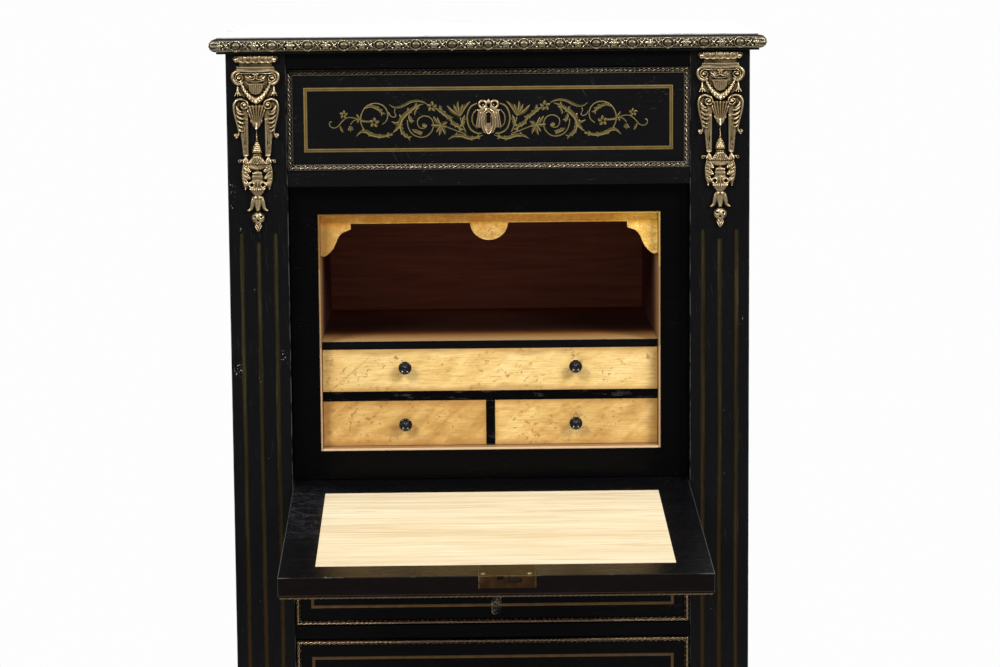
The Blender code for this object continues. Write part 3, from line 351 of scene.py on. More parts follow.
def tray_material(name):
    """Oak boards with the grain along each: the sides from front to back, the rest from side to side."""
    shade = Shader(name, specular_ior_level=0.3)
    facing = shade.node("SeparateXYZ")
    shade.feed(facing.inputs[0], shade.normal)
    side = shade.step(shade.math("ABSOLUTE", facing.outputs["X"]), 0.4, 0.6)
    colour = shade.mix(side, oak_colour(shade, "x"), oak_colour(shade, "y"))
    fibre = shade.mix(side, fibre_of(shade, "x"), fibre_of(shade, "y"))
    return shade.done(colour, shade.linear(fibre, 0.25, 0.45), fibre, 0.00015)


def mahogany_colour(shade):
    grain = shade.grain(drawn_out("x", 6.0, 130.0), detail=6.0, distortion=0.8)
    fleck = shade.grain((160.0, 160.0, 420.0), detail=2.0)
    colour = shade.ramp(grain, (0.30, (0.275, 0.086, 0.050)), (0.55, (0.41, 0.132, 0.075)),
                        (0.75, (0.54, 0.182, 0.104)))
    return shade.mix(shade.both(shade.step(fleck, 0.62, 0.72), 0.5), colour, (0.40, 0.165, 0.085))


# The box's front and depth, and tones of painted shade by share of that depth, for its walls and its shelf
BOX_FRONT, BOX_DEEP = 0.030, 0.330
WALL_SHADE_TONES = (
    (0.000, (0.360, 0.210, 0.0940)),
    (0.136, (0.300, 0.170, 0.0750)),
    (0.212, (0.170, 0.085, 0.0360)),
    (0.288, (0.100, 0.042, 0.0180)),
    (0.364, (0.055, 0.020, 0.0100)),
    (0.455, (0.038, 0.013, 0.0075)),
    (0.576, (0.040, 0.014, 0.0080)),
    (0.667, (0.065, 0.022, 0.0135)),
    (0.788, (0.130, 0.044, 0.0270)),
    (0.924, (0.200, 0.068, 0.0420)),
)
SHELF_SHADE_TONES = (
    (0.100, (0.575, 0.368, 0.1650)),
    (0.160, (0.490, 0.265, 0.0910)),
    (0.221, (0.345, 0.159, 0.0530)),
    (0.282, (0.116, 0.046, 0.0160)),
    (0.345, (0.040, 0.0135, 0.0060)),
    (0.406, (0.022, 0.0075, 0.0045)),
    (0.485, (0.017, 0.0060, 0.0040)),
    (0.591, (0.020, 0.0070, 0.0045)),
    (0.712, (0.045, 0.0155, 0.0095)),
    (0.836, (0.105, 0.036, 0.0220)),
    (0.958, (0.230, 0.078, 0.0480)),
)


def painted_shade_by_depth(shade, tones, grain):
    """Painted shade: wood that darkens from the lit front of the box inwards, and lightens and reddens again
    towards its back.
    """
    drift = shade.linear(shade.noise(45.0), 0.012, shade.math("ADD", shade.axis("Y"), -0.006 - BOX_FRONT))
    colour = shade.ramp(shade.math("DIVIDE", drift, BOX_DEEP), *tones)
    return shade.mix(shade.linear(grain, 0.7, -0.12, clamp=True), colour, (0.62, 0.60, 0.58), "MULTIPLY")


def lining(name, walls=False, front=None):
    """Dark red wood: walls carry painted shade that deepens into the box, front=(start, end, colour) is the
    lit edge.
    """
    shade = Shader(name, specular_ior_level=0.25)
    grain = shade.grain((160.0, 14.0, 420.0), detail=4.0)
    colour = painted_shade_by_depth(shade, WALL_SHADE_TONES, grain) if walls else mahogany_colour(shade)
    if front:
        up = shade.axis("Z")
        pale = shade.mix(grain, front[2], tuple(1.2 * part for part in front[2]))
        pale = shade.mix(shade.step(up, 0.9240, 0.9260), pale,
                         shade.mix(grain, (0.30, 0.182, 0.088), (0.37, 0.228, 0.111)))
        # Above 1.0315 m the front edge is painted: shade on the left half, light on the right half
        high = shade.mix(grain, (0.185, 0.090, 0.023), (0.28, 0.145, 0.040))
        high = shade.mix(shade.step(shade.axis("X"), -0.05, 0.05), high,
                         shade.mix(grain, (0.44, 0.265, 0.058), (0.64, 0.41, 0.098)))
        pale = shade.mix(shade.step(up, 1.0300, 1.0315), pale, high)
        colour = shade.mix(shade.step(shade.axis("Y"), front[0], front[1]), pale, colour)
    fibre = shade.grain((30.0, 700.0, 700.0), detail=3.0)
    return shade.done(colour, shade.linear(fibre, 0.25, 0.42), fibre, 0.0001)


# The height above which the valance's top band gets painted light
BAND_LOW = 1.0908
BACK_FACE = 0.3830
BACK_JOINTS = (-0.168, 0.002, 0.171)


def back_material(name):
    """Dark red wood on the inside, upright boards of bare brown wood with dark joints on the outside."""
    shade = Shader(name, specular_ior_level=0.25)
    inside = mahogany_colour(shade)
    grain = shade.grain((120.0, 120.0, 4.0), detail=6.0, distortion=0.7)
    cloud = shade.noise(3.2, detail=6.0)
    bare = shade.ramp(grain, (0.30, (0.072, 0.043, 0.024)), (0.52, (0.140, 0.088, 0.050)),
                      (0.74, (0.215, 0.145, 0.088)))
    bare = shade.mix(shade.times(shade.step(cloud, 0.40, 0.68), 0.55), bare, (0.060, 0.040, 0.026))
    pores = shade.step(shade.grain((900.0, 900.0, 26.0), detail=2.0), 0.60, 0.72)
    bare = shade.mix(shade.times(pores, 0.5), bare, (0.035, 0.020, 0.011))
    gap = shade.step(shade.nearest(shade.axis("X"), BACK_JOINTS), 0.0016, 0.0007)
    bare = shade.mix(gap, bare, (0.006, 0.004, 0.003))
    outside = shade.step(shade.axis("Y"), BACK_FACE, BACK_FACE + 0.0005)
    return shade.done(shade.mix(outside, inside, bare), shade.linear(grain, 0.25, 0.48),
                      shade.linear(shade.both(gap, outside), -3.0, grain), 0.0003)


def shelf_material(name):
    """Shelf with a black front edge, then painted light on the lip behind it and painted shade further in."""
    shade = Shader(name, specular_ior_level=0.1)
    grain = shade.grain((14.0, 300.0, 300.0), detail=4.0)
    colour = painted_shade_by_depth(shade, SHELF_SHADE_TONES, grain)
    front = shade.step(shade.axis("Y"), 0.0450, 0.0447)
    black = shade.mix(grain, LACQUER_DEEP, LACQUER_PALE)
    rough = shade.linear(front, -0.34, shade.linear(grain, 0.2, 0.40))
    return shade.done(shade.mix(front, colour, black), rough, grain, 0.00008)


def maple(name, shift=(0.0, 0.0, 0.0), edges=None, crack=None, inside=None, deep=0.0, band=None):
    """Golden bird's eye maple: slanting flame, fine fibre and small curled eyes.

    edges=(x0, x1, z0, z1) has a darker margin, crack a line across it, inside the depth past which oak shows,
    deep a darker tone, and band the heights between which a valance turns warmer; a valance also gets painted
    shade at its left end, and painted light at its right end and on its top band."""
    shade = Shader(name, specular_ior_level=0.45)
    place = shade.mapped(location=shift)
    slant = shade.mapped(place, rotation=(0.0, 0.7, 0.0))
    flame = shade.grain((15.0, 8.0, 70.0), slant, detail=4.0, roughness=0.5, distortion=0.5)
    cloud = shade.noise(13.0, shade.scaled((1.0, 1.0, 1.8), place), detail=4.0, distortion=0.6)
    figure = shade.grain((55.0, 40.0, 120.0), place, detail=5.0, roughness=0.62, distortion=0.7)
    tone = shade.linear(flame, 0.36, shade.linear(cloud, 0.52, -0.095 - deep))
    tone = shade.linear(figure, 0.30, tone)
    colour = shade.ramp(
        tone,
        (0.28, (0.44, 0.232, 0.056)),
        (0.42, (0.63, 0.385, 0.118)),
        (0.54, (0.78, 0.535, 0.196)),
        (0.70, (0.89, 0.675, 0.300)),
    )
    fibre = shade.grain((30.0, 400.0, 620.0), place, detail=4.0)
    colour = shade.mix(shade.times(shade.step(fibre, 0.46, 0.66), 0.40), colour, (0.42, 0.215, 0.055))
    groups = shade.step(shade.noise(19.0, place, detail=2.0), 0.44, 0.56)
    bend = shade.grain((88.0, 40.0, 150.0), place, detail=2.0, distortion=0.6)
    short = shade.step(shade.grain((120.0, 50.0, 190.0), slant, detail=1.0), 0.57, 0.63)
    curls = shade.both(shade.step(shade.apart(bend, 0.5), 0.070, 0.026), short, groups)
    near, kind = shade.cells(1.0, shade.scaled((95.0, 40.0, 175.0), place))
    hearts = shade.both(shade.step(near, 0.12, 0.05), shade.step(kind, 0.55, 0.60))
    dashes = shade.step(shade.grain((170.0, 60.0, 780.0), place, detail=1.0), 0.72, 0.78)
    eyes = shade.either(curls, shade.times(hearts, 0.85), shade.times(dashes, 0.5))
    colour = shade.mix(shade.times(eyes, 0.66), colour, (0.285, 0.115, 0.024))
    if edges:
        sides = [shade.math("MINIMUM", shade.math("SUBTRACT", shade.axis(axis), low),
                            shade.math("SUBTRACT", high, shade.axis(axis)))
                 for axis, low, high in (("X", *edges[:2]), ("Z", *edges[2:]))]
        rim = shade.math("ADD", shade.math("MINIMUM", *sides), shade.linear(cloud, -0.024, 0.011))
        colour = shade.mix(shade.times(shade.step(rim, 0.0095, 0.0), 0.62), colour, (0.36, 0.160, 0.032))
    if band:
        across = shade.axis("X")
        # The left end is darker: painted shade, with dark mottles over it
        ends = shade.step(across, -0.165, -0.215)
        blotch = shade.step(shade.noise(60.0, detail=5.0), 0.36, 0.66)
        colour = shade.mix(shade.both(ends, shade.linear(blotch, 0.52, 0.18)), colour, (0.31, 0.150, 0.036))
        mottle = shade.step(shade.noise(190.0, detail=5.0, roughness=0.65), 0.43, 0.57)
        colour = shade.mix(shade.times(mottle, 0.55), colour, (0.36, 0.165, 0.042))
        colour = shade.mix(0.16, colour, (0.66, 0.40, 0.045))
        # Painted light on the right end
        colour = shade.mix(shade.step(across, 0.140, 0.205), colour, (1.55, 1.72, 1.70), "MULTIPLY")
        fleck = shade.step(shade.noise(430.0, detail=4.0), 0.50, 0.62)
        colour = shade.mix(shade.times(fleck, 0.36), colour, (0.34, 0.165, 0.040))
        colour = shade.mix(shade.times(shade.step(shade.axis("Z"), *band), 0.75), colour, (1.0, 0.62, 0.20),
                           "SOFT_LIGHT")
        # Painted light on the top band above BAND_LOW, which lies in the frame's shadow
        colour = shade.mix(shade.step(shade.axis("Z"), BAND_LOW, BAND_LOW + 0.0016), colour,
                           (1.68, 1.62, 1.60), "MULTIPLY")
    if crack:
        away = shade.times(shade.step(shade.axis("X"), -0.09, -0.21), 0.20)
        colour = shade.mix(away, colour, (0.46, 0.270, 0.085))
        line = shade.linear(shade.axis("X"), crack[0], shade.linear(shade.axis("Z"), crack[1], crack[2]))
        wander = shade.math("ADD", line, shade.linear(shade.noise(160.0), 0.005, -0.0025))
        near_line = shade.step(shade.math("ABSOLUTE", wander), 0.0016, 0.0005)
        left = shade.step(shade.axis("X"), crack[4], crack[3])
        share = shade.both(near_line, left, shade.step(shade.noise(900.0), 0.42, 0.54))
        colour = shade.mix(shade.times(share, 0.55), colour, (0.20, 0.090, 0.028))
    if inside:
        colour = shade.mix(shade.step(shade.axis("Y"), inside, inside + 0.0004), colour, oak_colour(shade))
    return shade.done(colour, shade.linear(cloud, 0.22, 0.24), shade.linear(eyes, -0.7, fibre), 0.00008)


def pale_panel(name):
    """Cream veneer with straight grain from side to side: broad bands, drawn out lines and fine pores."""
    shade = Shader(name, specular_ior_level=0.35)
    wide = shade.grain((2.2, 30.0, 30.0), detail=4.0, distortion=0.8)
    lines = shade.grain((4.6, 250.0, 250.0), detail=3.0, roughness=0.6, distortion=0.6)
    fine = shade.grain((16.0, 760.0, 760.0), detail=4.0, roughness=0.65)
    rays = shade.grain((8.0, 150.0, 150.0), detail=3.0, distortion=0.8)
    colour = shade.ramp(wide, (0.30, (0.60, 0.488, 0.310)), (0.52, (0.680, 0.575, 0.385)),
                        (0.72, (0.720, 0.632, 0.455)))
    colour = shade.mix(shade.times(shade.step(lines, 0.49, 0.66), 0.62), colour, (0.51, 0.375, 0.185))
    colour = shade.mix(shade.times(shade.step(lines, 0.44, 0.32), 0.5), colour, (0.86, 0.790, 0.610))
    colour = shade.mix(shade.times(shade.step(rays, 0.60, 0.70), 0.55), colour, (0.45, 0.310, 0.145))
    colour = shade.mix(shade.times(shade.step(fine, 0.50, 0.70), 0.50), colour, (0.46, 0.330, 0.160))
    forward, _ = fall_places(shade)
    # Painted light towards the hinge and painted shade towards the free edge
    colour = shade.mix(shade.step(forward, 0.26, 0.06), colour, (1.11, 1.14, 1.20), "MULTIPLY")
    colour = shade.mix(shade.step(forward, 0.20, 0.38), colour, (0.93, 0.92, 0.92), "MULTIPLY")
    return shade.done(colour, shade.linear(fine, 0.20, 0.40), fine, 0.00006)


def marble(name):
    shade = Shader(name, specular_ior_level=0.3)
    drift = shade.noise(4.5, detail=9.0, roughness=0.6, distortion=1.6)
    vein = shade.step(shade.apart(drift, 0.5), 0.0, 0.035)
    cloud = shade.noise(9.0, detail=6.0)
    colour = shade.ramp(cloud, (0.30, (0.530, 0.530, 0.533)), (0.70, (0.625, 0.622, 0.614)))
    colour = shade.mix(shade.linear(vein, -0.50, 0.50), colour, (0.315, 0.320, 0.333))
    return shade.done(colour, shade.linear(cloud, 0.16, 0.28), cloud, 0.00005)


def metal(name, bright, dull, darkest, rough=(0.24, 0.5), reach=0.0022):
    """Plain metal: bright where rubbed, duller in clouds, dark in the hollows that it finds within reach."""
    shade = Shader(name, metallic=1.0)
    cloud = shade.noise(46.0, detail=6.0, roughness=0.6)
    colour = shade.mix(shade.step(cloud, 0.36, 0.64), bright, dull)
    open_to_light = shade.hollows(reach)
    colour = shade.mix(shade.step(open_to_light, 0.95, 0.35), colour, darkest)
    spots = shade.step(shade.noise(330.0, detail=4.0), 0.60, 0.68)
    colour = shade.mix(shade.times(spots, 0.55), colour, darkest)
    wide = shade.linear(cloud, rough[1] - rough[0], rough[0])
    return shade.done(colour, wide, shade.noise(600.0, detail=3.0), 0.00012, 0.6)


def cast(name, bright, dull, darkest, rough=(0.20, 0.52), black_above=None, shaded=None):
    """Cast and rubbed metal by how far each place stands out: dark in hollows, bright on crests.

    It turns black above the heights given for its black top line; above the heights in shaded, painted shade
    sets in, most on the left, and the left upright gets painted shade too."""
    shade = Shader(name, metallic=1.0, specular_ior_level=0.1)
    relief = shade.node("Attribute", attribute_name="relief").outputs["Fac"]
    cloud = shade.noise(70.0, detail=6.0, roughness=0.6)
    stands = shade.math("ADD", relief, shade.linear(cloud, 0.5, -0.25))
    colour = shade.ramp(stands, (0.10, darkest), (0.45, dull), (0.85, bright))
    spots = shade.step(shade.noise(520.0, detail=4.0), 0.60, 0.70)
    colour = shade.mix(shade.times(spots, 0.45), colour, darkest)
    if shaded:
        # Painted shade on the top run, most on the left, and on the left upright
        top = shade.linear(shade.step(shade.axis("X"), 0.0, 0.2), -0.35, 0.88)
        colour = shade.mix(shade.both(top, shade.step(shade.axis("Z"), *shaded)), colour, darkest)
        colour = shade.mix(shade.times(shade.step(shade.axis("X"), -0.2525, -0.2535), 0.35), colour, darkest)
    if black_above:
        # The black line along the rim's top
        dark = shade.step(shade.axis("Z"), *black_above)
        colour = shade.mix(dark, colour, LACQUER_DEEP)
        shade.set("metallic", shade.math("SUBTRACT", 1.0, dark))
    return shade.done(colour, shade.linear(stands, rough[0] - rough[1], rough[1], clamp=True),
                      shade.noise(700.0, detail=3.0), 0.0001, 0.5)


def knob_material(name):
    """Black polish over turned wood, with faint rings from the lathe."""
    shade = Shader(name, specular_ior_level=0.75)
    rings = shade.grain((1.0, 2600.0, 1.0), detail=2.0)
    return shade.done(shade.mix(rings, (0.0016, 0.0015, 0.0016), (0.006, 0.0055, 0.0055)),
                      shade.linear(shade.noise(240.0, detail=4.0), 0.10, 0.04), rings, 0.00002)


FLUTES = (0.279, 0.301, 0.323)
FLUTE_HALF = 0.0034
PILASTER_CHIPS = ((-0.3225, 1.0845, 0.006), (-0.3312, 0.9017, 0.012), (-0.3277, 0.9004, 0.006),
                  (-0.3345, 1.142, 0.010), (-0.3345, 1.118, 0.006), (-0.2703, 0.918, 0.010),
                  (-0.3085, 1.010, 0.004), (-0.3017, 0.889, 0.006), (0.3290, 0.960, 0.007))


def pilaster_material(name):
    """Black polished wood with dull brass lining its flutes, and rubbed edges beside the opening."""
    shade = Shader(name, specular_ior_level=0.2)
    colour, rough, height = lacquer_parts(shade, "z")
    across = shade.math("ABSOLUTE", shade.axis("X"))
    back = shade.axis("Y")
    near = shade.nearest(across, FLUTES)
    flute = shade.both(shade.step(near, FLUTE_HALF + 0.0004, FLUTE_HALF + 0.0001),
                       shade.step(back, 0.00002, 0.00006))
    lining_tone = shade.grain((300.0, 300.0, 12.0), detail=5.0)
    brass = shade.ramp(lining_tone, (0.30, (0.024, 0.021, 0.011)), (0.55, (0.049, 0.042, 0.021)),
                       (0.75, (0.100, 0.084, 0.044)))
    brass = shade.mix(shade.times(shade.step(shade.axis("Z"), 0.86, 0.60), 0.6), brass, (0.060, 0.034, 0.016))
    spots = shade.step(shade.noise(260.0, detail=4.0), 0.56, 0.64)
    brass = shade.mix(shade.times(spots, 0.6), brass, (0.028, 0.022, 0.013))
    lip = shade.both(shade.step(near, FLUTE_HALF - 0.0006, FLUTE_HALF - 0.0001),
                     shade.step(shade.noise(75.0), 0.52, 0.60))
    brass = shade.mix(shade.times(lip, 0.6), brass, (0.26, 0.22, 0.125))
    colour = shade.mix(flute, colour, brass)
    rim = shade.both(shade.step(across, 0.2633, 0.2622), shade.step(back, 0.0006, 0.0002))
    outer = shade.both(shade.step(across, 0.3388, 0.3397), shade.step(back, 0.0006, 0.0002))
    worn = shade.both(shade.either(rim, outer),
                      shade.step(shade.grain((500.0, 500.0, 45.0), detail=4.0), 0.44, 0.56))
    colour = shade.mix(shade.times(worn, 0.45), colour, (0.24, 0.22, 0.20))
    for x, z, reach in PILASTER_CHIPS:
        off_x = shade.apart(shade.axis("X"), x)
        off_z = shade.apart(shade.axis("Z"), z)
        close = shade.step(shade.math("MAXIMUM", shade.times(off_x, 1.8), off_z), reach, reach * 0.4)
        chip = shade.both(close, shade.step(shade.noise(430.0, detail=2.0), 0.61, 0.67))
        colour = shade.mix(shade.times(chip, 0.5), colour, CHIP)
    shade.set("metallic", flute)
    return shade.done(colour, shade.math("MAXIMUM", rough, shade.times(flute, 0.5)), height, 0.00006)


def paint(material, *names):
    for name in names:
        slots = nodes[name].data.materials
        if slots:
            for index in range(len(slots)):
                slots[index] = material
        else:
            slots.append(material)


# Light, world and floor
def make_light(name, at, towards, width, height, power, tint=(1.0, 1.0, 1.0)):
    data = bpy.data.lights.new(name, "AREA")
    data.shape = "RECTANGLE"
    data.size = width
    data.size_y = height
    data.energy = power
    data.color = tint
    light = bpy.data.objects.new(name, data)
    light.location = at
    aim = Matrix.Translation(towards).translation - Matrix.Translation(at).translation
    light.rotation_mode = "QUATERNION"
    light.rotation_quaternion = aim.to_track_quat("-Z", "Y")
    light.visible_camera = False
    bpy.context.scene.collection.objects.link(light)


def make_world():
    world = bpy.data.worlds.new("studio")
    world.use_nodes = True
    tree = world.node_tree
    tree.nodes.clear()
    output = tree.nodes.new("ShaderNodeOutputWorld")
    seen = tree.nodes.new("ShaderNodeBackground")
    seen.inputs["Color"].default_value = (0.985, 0.985, 0.985, 1.0)
    seen.inputs["Strength"].default_value = 1.0
    lit = tree.nodes.new("ShaderNodeBackground")
    lit.inputs["Color"].default_value = (1.0, 0.99, 0.975, 1.0)
    lit.inputs["Strength"].default_value = 0.24
    path = tree.nodes.new("ShaderNodeLightPath")
    mix = tree.nodes.new("ShaderNodeMixShader")
    tree.links.new(path.outputs["Is Camera Ray"], mix.inputs[0])
    tree.links.new(lit.outputs[0], mix.inputs[1])
    tree.links.new(seen.outputs[0], mix.inputs[2])
    tree.links.new(mix.outputs[0], output.inputs[0])
    bpy.context.scene.world = world


FLOOR_RADIUS = 1.75
FLOOR_BACK, FLOOR_UP = 0.19, -0.0005


def make_floor():
    rings, spokes = (0.0, 0.5, 1.0, 1.4, FLOOR_RADIUS), 96
    points = [(0.0, FLOOR_BACK, FLOOR_UP)]
    faces = []
    for ring in rings[1:]:
        for spoke in range(spokes):
            turn = 2.0 * math.pi * spoke / spokes
            points.append((ring * math.cos(turn), FLOOR_BACK + ring * math.sin(turn), FLOOR_UP))
    for spoke in range(spokes):
        after = (spoke + 1) % spokes
        faces.append((0, 1 + spoke, 1 + after))
        for ring in range(len(rings) - 2):
            low, high = 1 + ring * spokes, 1 + (ring + 1) * spokes
            faces.append((low + spoke, high + spoke, high + after, low + after))
    mesh = bpy.data.meshes.new("floor")
    mesh.from_pydata(points, [], faces)
    floor = bpy.data.objects.new("floor", mesh)
    bpy.context.scene.collection.objects.link(floor)
    shade = Shader("floor", roughness=0.7)
    tone = shade.noise(3.0, detail=4.0)
    shade.set("base_color", shade.ramp(tone, (0.3, (0.80, 0.80, 0.80)), (0.7, (0.84, 0.84, 0.84))))
    far = shade.node("VectorMath", operation="LENGTH")
    shade.feed(far.inputs[0], shade.place)
    shade.set("alpha", shade.step(far.outputs["Value"], FLOOR_RADIUS - 0.2, 0.9))
    mesh.materials.append(shade.material)


KEY_TINT = (1.0, 0.985, 0.96)
make_camera()
make_world()
make_floor()
make_light("key_right", (2.0, -2.6, 2.95), (0.0, 0.0, 0.95), 1.1, 1.1, 105.0, KEY_TINT)
make_light("key_left", (-1.85, -2.6, 3.05), (0.0, 0.0, 0.95), 1.1, 1.1, 95.0, KEY_TINT)
make_light("overhead", (0.0, 0.1, 3.6), (0.0, 0.15, 1.0), 2.0, 1.4, 45.0)
make_light("side_right", (3.0, 1.0, 1.9), (0.34, 0.25, 0.8), 1.6, 1.6, 22.0)
make_light("side_left", (-3.0, 1.0, 1.9), (-0.34, 0.25, 0.8), 1.6, 1.6, 22.0)
make_light("back_fill", (0.5, 3.2, 2.4), (0.0, 0.3, 0.8), 2.0, 1.6, 60.0)


def rail_scuffs(shade):
    return shade.times(shade.step(shade.grain((34.0, 260.0, 260.0), detail=5.0), 0.56, 0.72), 0.22)


# Finishes on the solids, and the depths past which drawer fronts and rails are bare wood
FRONT_BARE, RAIL_BARE, MAPLE_BARE = (0.0192, 0.0198), (0.030, 0.031), 0.0532
LIT_EDGE = (0.0262, 0.0268)
BLACK = lacquer("black_upright", "z")
BLACK_ACROSS = lacquer("black_across", "x")
BLACK_DEEP = lacquer("black_frame", "x", deep=0.7, shine=0.08)
BLACK_FRONT = lacquer("black_drawer_front", "x", inside=FRONT_BARE,
                      scratches=((0.122, 1.2675, 0.52), (-0.118, 1.1885, 0.45)))
BLACK_LOW = lacquer("black_low_drawer_front", "x", inside=FRONT_BARE, deep=0.4, shine=0.11)
BLACK_RAIL = lacquer("black_rail", "x", inside=RAIL_BARE)
BLACK_RAIL_LOW = lacquer("black_low_rail", "x", inside=RAIL_BARE, deep=0.5, shine=0.10)
GILT = metal("gilt_bronze", (0.62, 0.50, 0.33), (0.36, 0.275, 0.165), (0.040, 0.027, 0.015))
GILT_DARK = metal("gilt_bronze_worn", (0.40, 0.335, 0.245), (0.19, 0.150, 0.100), (0.016, 0.011, 0.007))
GILT_ROSY = metal("gilt_bronze_rosy", (0.80, 0.54, 0.28), (0.55, 0.345, 0.165), (0.045, 0.025, 0.014))
STEEL = metal("dark_steel", (0.150, 0.128, 0.105), (0.050, 0.042, 0.035), (0.008, 0.007, 0.006), (0.22, 0.45))

paint(BLACK, "side_left", "side_right")
paint(BLACK_DEEP, "stop_frame")
paint(lacquer("black_inner_rail", "x", rail_scuffs, deep=0.7, shine=0.08), "inner_rail", "inner_divider")
paint(BLACK_ACROSS, "top_board", "plinth")
paint(lacquer("black_frieze", "x", deep=0.6, shine=0.1), "frieze_rail")
paint(BLACK_FRONT, "top_drawer_front")
paint(BLACK_LOW, "high_drawer_front", "mid_drawer_front", "low_drawer_front")
paint(BLACK_RAIL, "upper_divider", "sill_divider")
paint(BLACK_RAIL_LOW, "lower_divider_1", "lower_divider_2", "bottom_board")
paint(pilaster_material("pilaster"), "pilaster_left", "pilaster_right")
paint(GILT, "chute_left", "chute_right")
paint(GILT_DARK, *[name for name in nodes if name.endswith("_moulding")])
paint(GILT_ROSY, "top_drawer_escutcheon")
paint(lock_material("lock_brass"), "fall_lock")
paint(STEEL, "key", "pivot_left", "pivot_right")
paint(metal("bolt_steel", (0.062, 0.047, 0.036), (0.032, 0.024, 0.018), (0.008, 0.006, 0.005)), "fall_bolt")
paint(marble("marble"), "marble_top")
paint(fall_material("black_fall"), "fall_panel")
paint(pale_panel("pale_panel"), "writing_panel")
CRACK = (0.6494, -0.7604, 0.7960, -0.164, -0.157)
paint(maple("maple_long", (0.0, 0.0, 0.0), (-0.2300, 0.2224, 0.8630, 0.9225), CRACK, MAPLE_BARE, -0.085),
      "long_drawer_front")
paint(maple("maple_left", (0.7, 0.0, 0.3), (-0.2290, -0.0020, 0.7890, 0.8530), None, MAPLE_BARE, 0.135),
      "small_drawer_left_front")
paint(maple("maple_right", (0.3, 0.0, 0.6), (0.0000, 0.2224, 0.7890, 0.8530), None, MAPLE_BARE, 0.035),
      "small_drawer_right_front")
paint(maple("maple_valance", (0.2, 0.4, 0.9), deep=0.05, band=(1.0800, 1.0905)), "valance")
paint(tray_material("oak_tray"), *[name for name in nodes if name.endswith("_tray")])
paint(oak("oak_upright", "z"), *[name for name in nodes if name.startswith("liner")])
paint(back_material("back_boards"), "back_panel")
# The inner top's front edge lies above 1.0315 m, so it takes lining's painted shade on the left and painted
# light on the right
paint(lining("lining_top", front=(0.0435, 0.0445, (0.30, 0.165, 0.050))), "inner_top")
paint(lining("lining_side", True, (*LIT_EDGE, (0.46, 0.300, 0.180))),
      "inner_side_left", "inner_side_right")
paint(shelf_material("lining_shelf"), "inner_shelf")
paint(lining("lining_base", True, (*LIT_EDGE, (0.62, 0.440, 0.270))), "inner_bottom")
paint(BLACK, *[name for name in nodes if "knob" in name])


# Helpers for shaped pieces
def make_piece(name, form, material, body, smooth=True, stands_for=()):
    """A piece from points, faces and how far each point stands out, riding on a body."""
    points, faces, relief = form
    mesh = bpy.data.meshes.new(name)
    mesh.from_pydata(np.asarray(points, float).tolist(), [], [tuple(int(i) for i in face) for face in faces])
    mesh.polygons.foreach_set("use_smooth", [smooth] * len(mesh.polygons))
    mesh.materials.append(material)
    shown = mesh.attributes.new("relief", "FLOAT", "POINT")
    shown.data.foreach_set("value", np.ravel(relief).astype(np.float32))
    piece = bpy.data.objects.new(name, mesh)
    bpy.context.scene.collection.objects.link(piece)
    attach(piece, body)
    if stands_for:
        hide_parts(*stands_for)
    return piece


def grid_faces(rows, columns, start=0, wrap=False):
    faces = []
    for row in range(rows - 1):
        for column in range(columns if wrap else columns - 1):
            after = (column + 1) % columns
            low, high = start + row * columns, start + (row + 1) * columns
            faces.append((low + column, low + after, high + after, high + column))
    return faces


def blurred(field, reach):
    """Each place's mean over a square round it, taken twice so that it is soft."""
    for axis in (0, 1, 0, 1):
        padded = np.pad(field, [(reach, reach) if index == axis else (0, 0) for index in (0, 1)], mode="edge")
        size, wide = field.shape[axis], 2 * reach + 1
        field = sum(np.take(padded, range(start, start + size), axis) for start in range(wide)) / wide
    return field


def standing(height, reach, spread, solid=None):
    """0 in hollows and 1 on crests, by how far each place stands over what is round it."""
    if solid is None:
        around = blurred(height, reach)
    else:
        share = np.maximum(blurred(solid.astype(float), reach), 1e-6)
        around = blurred(np.where(solid, height, 0.0), reach) / share
    return np.clip(0.5 + (height - around) / (2.0 * spread), 0.0, 1.0)


def flowing(points, per=6):
    """A smooth line through the points, whose rows may hold more than a place."""
    rows = np.asarray(points, float)
    padded = np.vstack((2 * rows[0] - rows[1], rows, 2 * rows[-1] - rows[-2]))
    made = []
    for before, start, end, after in zip(padded, padded[1:], padded[2:], padded[3:]):
        for t in np.arange(per) / per:
            made.append(
                0.5 * (2 * start + (end - before) * t + (2 * before - 5 * start + 4 * end - after) * t**2
                + (3 * start - before - 3 * end + after) * t**3)
            )
    made.append(rows[-1])
    return np.array(made)


class Clay:
    """Gathers points and faces of several forms into one mesh."""

    def __init__(self):
        self.points = []
        self.faces = []
        self.relief = []
        self.count = 0

    def add(self, points, faces, relief=0.6):
        points = np.asarray(points, float).reshape(-1, 3)
        self.relief.append(np.broadcast_to(np.ravel(relief) if np.ndim(relief) else relief, len(points)))
        self.faces.extend(tuple(int(i) + self.count for i in face) for face in faces)
        self.points.append(points)
        self.count += len(points)

    def all_points(self):
        return np.vstack(self.points)

    def mirrored(self):
        """Adds the same forms on the other side of x=0."""
        points = self.all_points() * (-1.0, 1.0, 1.0)
        self.faces.extend([tuple(i + self.count for i in reversed(face)) for face in self.faces])
        self.points.append(points)
        self.relief.append(np.concatenate(self.relief))
        self.count *= 2

    def form(self):
        return self.all_points(), self.faces, np.concatenate(self.relief)

    def ribbon(self, path, lift, crown):
        """A flat band on the front plane, by rows of across, up and width; its middle stands out by crown."""
        path = np.asarray(path, float)
        way = np.gradient(path[:, :2], axis=0)
        way /= np.maximum(np.linalg.norm(way, axis=1, keepdims=True), 1e-12)
        side = np.column_stack((-way[:, 1], way[:, 0]))
        rows = []
        for share, out in ((-0.5, 0.0), (-0.38, 0.5), (0.0, 1.0), (0.38, 0.5), (0.5, 0.0)):
            place = path[:, :2] + side * path[:, 2:3] * share
            rows.append(np.column_stack((place[:, 0], np.full(len(path), -lift - crown * out), place[:, 1])))
        points = np.stack(rows, axis=1)
        self.add(points, grid_faces(len(path), 5), np.tile((0.80, 0.85, 0.58, 0.24, 0.20), len(path)))


